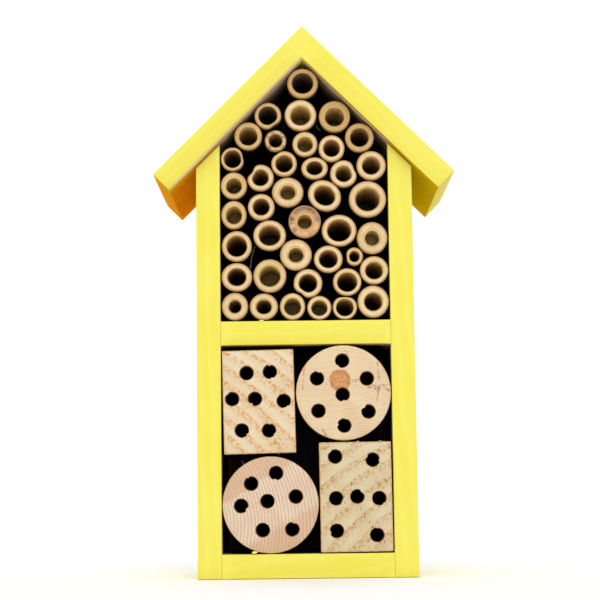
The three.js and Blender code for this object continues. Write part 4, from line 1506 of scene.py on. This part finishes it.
# %% Sweeping a section along a path
def sweep_along(bm, path, section):
    """Carries a section, given as (across, out) points, along a flat path of (point, out, wide)."""
    rows = []
    for point, out, wide in path:
        rows.append([bm.verts.new(point + wide * across + out * reach) for across, reach in section])
    join_all(bm, rows)
    bm.faces.new(rows[0])
    bm.faces.new(rows[-1])


def oblong(thickness, rounding, steps=3):
    """A flat section one unit wide to each side, with rounded corners that the width scales."""
    half = thickness / 2
    points = []
    for corner in range(4):
        sx = 1 if corner in (0, 3) else -1
        sy = 1 if corner in (0, 1) else -1
        order = range(steps + 1) if sx == sy else range(steps, -1, -1)
        for i in order:
            turn = math.pi / 2 * i / steps
            across = 1 - 0.06 * (1 - math.cos(turn))
            points.append((sx * across, sy * (half - rounding * (1 - math.sin(turn)))))
    return points


print("an oblong section has", len(oblong(0.7 * MM, 0.25 * MM)), "points")

# %% Making the strap
STRAP_THICKNESS = 0.7 * MM
strap_low, strap_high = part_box("hanger_strap")
eye_radius = strap_high.z - HINGE.z - STRAP_THICKNESS / 2
strap_half = (strap_high.x - strap_low.x) / 2
TIP_RADIUS = 3.2 * MM


def strap_width(height):
    """Half the strap's width at a height above its lower end, which is rounded off."""
    if height >= TIP_RADIUS:
        return strap_half
    rounded = math.sqrt(max(0.0, TIP_RADIUS ** 2 - (TIP_RADIUS - height) ** 2))
    return strap_half - TIP_RADIUS + rounded


path = []
plate_y = strap_low.y + STRAP_THICKNESS / 2
straight = HINGE.z - strap_low.z
heights = [straight * 0.003 * k * k for k in range(1, 9)] + list(np.linspace(straight * 0.24, straight, 22))
for height in heights:
    point = Vector((0, plate_y, strap_low.z + height))
    path.append((point, -BACKWARDS, SIDEWAYS * strap_width(height)))
for degrees in range(10, 311, 10):
    turn = math.radians(180 - degrees)
    out = BACKWARDS * math.cos(turn) + UP * math.sin(turn)
    path.append((HINGE + out * eye_radius, out, SIDEWAYS * strap_half))
bm = bmesh.new()
sweep_along(bm, path, oblong(STRAP_THICKNESS, 0.25 * MM))
add_piece("hanger_strap_bent", bm, [ZINC], ["hanger_strap"], sharp=50)

# %% Making the ring
ring_low, ring_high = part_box("hanger_ring")
wire = (ring_high.y - ring_low.y) / 2
half_width = (ring_high.x - ring_low.x) / 2 - wire
bow = ring_low.z + wire
side_length = HINGE.z - bow - half_width
CORNER = 1.6 * MM
SEAM = 0.2 * MM
outline = [(SEAM, 0.0), (half_width * 0.4, 0.0)]
outline += [(half_width - CORNER + CORNER * math.sin(t), -CORNER + CORNER * math.cos(t))
            for t in np.linspace(0, math.pi / 2, 8)]
outline += [(half_width * math.cos(t), -side_length - half_width * math.sin(t))
            for t in np.linspace(0, math.pi, 40)]
outline += [(-x, z) for x, z in reversed(outline[:10])]
trail = [HINGE + Vector((x, 0, z)) for x, z in outline]
turns = np.linspace(0, 2 * math.pi, 20, endpoint=False)
circle = [(math.cos(t) * wire, math.sin(t) * wire) for t in turns]
path = []
for i, point in enumerate(trail):
    ahead = (trail[min(i + 1, len(trail) - 1)] - trail[max(i - 1, 0)]).normalized()
    path.append((point, BACKWARDS, ahead.cross(BACKWARDS)))
bm = bmesh.new()
sweep_along(bm, path, circle)
add_piece("hanger_ring_wire", bm, [ZINC], ["hanger_ring"], body=RING, sharp=50)
print("the ring is", round(2 * (half_width + wire) / MM, 1), "mm wide")

# %% [markdown]
# ### The screw
# Its head is domed and has a cross recess. The dome is a turned piece with many rows near the
# middle, and the recess is pressed into it as the punch does in a factory: each point within
# the arms of the cross is pushed down, and the arms grow narrower with depth.

# %% Making the screw
screw_low, screw_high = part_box("hanger_screw")
head_radius = (screw_high.x - screw_low.x) / 2
head_foot = strap_low.y + STRAP_THICKNESS
screw_centre = (screw_low + screw_high) / 2
screw_centre.y = head_foot
head_height = screw_high.y - head_foot
SCREW_SHANK = 1.3 * MM
ROWS_OVER_THE_DOME = (0.03, 0.06, 0.1, 0.14, 0.18, 0.22, 0.27, 0.32, 0.37, 0.42, 0.48, 0.54, 0.6,
                      0.7, 0.8, 0.88, 0.95, 1.0)
profile = [(0, head_height)]
for share in ROWS_OVER_THE_DOME:
    profile.append((head_radius * share, head_height * math.sqrt(1 - 0.78 * share ** 2)))
profile += [(head_radius, 0.05 * MM), (SCREW_SHANK, 0.0), (SCREW_SHANK, -0.9 * MM)]
depth = screw_low.y - head_foot
turns_of_thread = np.linspace(-1.1 * MM, depth + 1.2 * MM, 14)
profile += [(SCREW_SHANK * (0.72 if i % 2 else 1.0), reach) for i, reach in enumerate(turns_of_thread)]
profile += [(SCREW_SHANK * 0.4, depth + 0.5 * MM), (0, depth)]
bm = bmesh.new()
turned(bm, screw_centre, BACKWARDS, profile, 64)
for vert in bm.verts:
    across_arm, along_arm = sorted(abs(reach) for reach in (vert.co - screw_centre).xz)
    if vert.co.y > head_foot + head_height * 0.5:
        beside = step_up(across_arm, 0.22 * MM, 0.4 * MM)
        beyond = step_up(along_arm, 1.2 * MM, 1.5 * MM)
        vert.co.y -= 0.8 * MM * (1 - beside) * (1 - beyond)
add_piece("hanger_screw_head", bm, [ZINC], ["hanger_screw"])
print("the screw head is", round(2 * head_radius / MM, 1), "mm across")

# %% [markdown]
# ## Glue and paint crumbs
# The stems are held by a little hot glue. It pulls fine threads when the nozzle is lifted, and
# a few are still there, between the stems and beside the blocks. The saw and the brush leave
# crumbs too: a flake of paint by the lower round block and splinters on the block edges.

# %% Materials: glue and crumbs
def glue_material():
    material, tree, shader = start_material("hot glue", Transmission_Weight=0.35, IOR=1.45)
    here = add(tree, "ShaderNodeTexCoord").outputs["Object"]
    cloud = place(tree, "blotches", {"Vector": here, "Size": 1.2 * MM, "Contrast": 0.1})["Mask"]
    color = mix(tree, cloud, srgb(186, 180, 160), srgb(150, 142, 120))
    finish_material(tree, shader, color, step(tree, cloud, 0.0, 1.0, 0.25, 0.45),
                    calc(tree, "MULTIPLY", cloud, 0.05 * MM))
    return material


def crumb_material(name, light, dark):
    material, tree, shader = start_material(name)
    here = add(tree, "ShaderNodeTexCoord").outputs["Object"]
    cloud = place(tree, "blotches", {"Vector": here, "Size": 0.8 * MM, "Contrast": 0.3})["Mask"]
    finish_material(tree, shader, mix(tree, cloud, light, dark), step(tree, cloud, 0.0, 1.0, 0.5, 0.8),
                    calc(tree, "MULTIPLY", cloud, 0.06 * MM))
    return material


GLUE = glue_material()
PAINT_CRUMB = crumb_material("paint crumb", srgb(246, 236, 150), PAINT)
SPLINTER = crumb_material("splinter", srgb(244, 230, 200), srgb(214, 180, 128))

# %% Making the glue
FACE = planes("round_block_lower")[0]
THREADS = [     # (x, z) where it starts, where it ends, and its radius, in millimetres
    ((-23.7, 157.6), (-26.0, 147.0), 0.09),
    ((6.6, 216.2), (8.2, 214.2), 0.1),
    ((-12.4, 60.4), (-13.6, 58.2), 0.13),
    ((-11.4, 60.2), (-10.6, 58.6), 0.1),
    ((-31.0, 55.6), (-29.4, 52.8), 0.1),
    ((8.6, 222.6), (8.9, 221.2), 0.08),
]


def thread(bm, start, end, radius, behind, luck):
    """A glue thread from one (x, z) to another, sagging a little, with a blob at its foot."""
    first = Vector((start[0] * MM, behind, start[1] * MM))
    last = Vector((end[0] * MM, behind + luck.uniform(-0.5, 0.8) * MM, end[1] * MM))
    sag = Vector((luck.uniform(-0.6, 0.6), luck.uniform(0, 0.6), 0)) * MM
    path = []
    for i in range(13):
        share = i / 12
        point = first.lerp(last, share) + sag * math.sin(math.pi * share)
        thick = radius * MM * (0.8 + 1.4 * step_up(share, 0.75, 1.0) ** 2)
        path.append((point, BACKWARDS * thick, SIDEWAYS * thick))
    turns = np.linspace(0, 2 * math.pi, 8, endpoint=False)
    sweep_along(bm, path, [(math.cos(t), math.sin(t)) for t in turns])


luck = random.Random(31)
bm = bmesh.new()
for start, end, radius in THREADS:
    thread(bm, start, end, radius, FACE + 0.6 * MM, luck)
add_piece("glue_threads", bm, [GLUE], sharp=60)
print(len(THREADS), "glue threads")

# %% Making the crumbs
def crumb(bm, x, z, width, height, thickness, turn, luck):
    """A ragged flat flake, lying against a face."""
    count = 14
    outline = []
    for i in range(count):
        angle = 2 * math.pi * i / count
        reach = luck.uniform(0.72, 1.0)
        point = complex(width / 2 * reach * math.cos(angle), height / 2 * reach * math.sin(angle))
        outline.append(complex(x, z) * MM + point * MM * complex(math.cos(turn), math.sin(turn)))
    loop = np.array(outline)
    middle = loop.mean()
    rows = []
    for share, depth in ((0.7, -thickness), (1.0, -thickness * 0.5), (0.75, 0.0)):
        rows.append(add_row(bm, middle + (loop - middle) * share, FACE + 0.05 * MM + depth * MM))
    join_all(bm, rows)
    close_row(bm, rows[0], FACE - thickness * MM)
    close_row(bm, rows[-1], FACE + 0.05 * MM)


PAINT_CRUMBS = [        # x, z, width, height and thickness in millimetres, and turn
    (-25.2, 12.4, 3.4, 1.3, 0.5, 0.1),
    (-21.0, 121.6, 2.6, 0.9, 0.35, 0.0),
]
SPLINTERS = [
    (-6.0, 77.4, 1.2, 0.6, 0.3, 1.2),
    (-6.2, 79.6, 0.9, 0.5, 0.3, 0.6),
    (24.0, 63.7, 1.6, 0.5, 0.3, 0.2),
    (-3.6, 92.4, 0.8, 0.5, 0.3, 1.0),
    (38.9, 17.2, 1.2, 0.6, 0.3, 1.5),
    (34.6, 63.8, 1.3, 0.4, 0.3, 0.1),
]
for name, material, slot, flakes in (("paint_crumbs", PAINT_CRUMB, "painted_board", PAINT_CRUMBS),
                                     ("splinters", SPLINTER, "bare_softwood", SPLINTERS)):
    bm = bmesh.new()
    for x, z, width, height, thickness, turn in flakes:
        crumb(bm, x, z, width, height, thickness, turn, luck)
    add_piece(name, bm, [material], sharp=40)
print(len(PAINT_CRUMBS) + len(SPLINTERS), "crumbs")

# %% [markdown]
# ## Floor and light
# The house stands on a plain pale sweep, a floor that curves up into a wall, so there's no
# line behind it. The light is that of a bright white room, which looks plain white to the
# viewer all round, with two broad soft lamps. One is high and lights the roof and the walls.
# The other is low and near the viewer, so it reaches into the bores, and both leave the
# undersides of the eaves to the light that the floor throws back.

# %% The sweep
FLOOR_WHITE = srgb(252, 252, 251)
SWEEP_START = 500 * MM
SWEEP_RADIUS = 900 * MM

profile = [(-3.0, 0.0)]
for turn in np.radians(np.linspace(0, 90, 25)):
    back = SWEEP_START + SWEEP_RADIUS * math.sin(turn)
    profile.append((back, SWEEP_RADIUS * (1 - math.cos(turn))))
profile.append((SWEEP_START + SWEEP_RADIUS, 4.0))
bm = bmesh.new()
rows = [[bm.verts.new((x, y, z - 0.1 * MM)) for x in (-4, 4)] for y, z in profile]
for first, second in zip(rows, rows[1:]):
    bm.faces.new((first[0], first[1], second[1], second[0]))
sweep_mesh = bpy.data.meshes.new("sweep")
bm.to_mesh(sweep_mesh)
bm.free()
sweep_mesh.shade_smooth()
sweep_mesh.materials.append(start_material("white paper", Roughness=0.9, Base_Color=FLOOR_WHITE)[0])
sweep = bpy.data.objects.new("sweep", sweep_mesh)
bpy.context.scene.collection.objects.link(sweep)
print("the sweep turns up", round(SWEEP_START / MM), "mm behind the house")

# %% The light
ROOM_LIGHT = 0.64
ROOM_WHITE = 1.0
LAMP_SPREAD = math.radians(50)
LAMPS = {"high lamp": (0.95, -6, 60), "front lamp": (0.75, 12, 12)}     # strength, side, height

world = bpy.data.worlds.new("white room")
world.use_nodes = True
background = world.node_tree.nodes["Background"]
background.inputs["Color"].default_value = (1.0, 1.0, 1.0, 1.0)
seen = world.node_tree.nodes.new("ShaderNodeLightPath").outputs["Is Camera Ray"]
strength = calc(world.node_tree, "MULTIPLY_ADD", seen, ROOM_WHITE - ROOM_LIGHT, ROOM_LIGHT)
world.node_tree.links.new(strength, background.inputs["Strength"])
bpy.context.scene.world = world

for name, (strength, side, height) in LAMPS.items():
    data = bpy.data.lights.new(name, "SUN")
    data.energy = strength
    data.angle = LAMP_SPREAD
    lamp = bpy.data.objects.new(name, data)
    lamp.rotation_mode = "QUATERNION"
    lamp.rotation_quaternion = Euler((math.radians(90 - height), 0, math.radians(side))).to_quaternion()
    bpy.context.scene.collection.objects.link(lamp)
bpy.context.scene.view_settings.view_transform = "Standard"
print(len(LAMPS), "lamps and a white room")
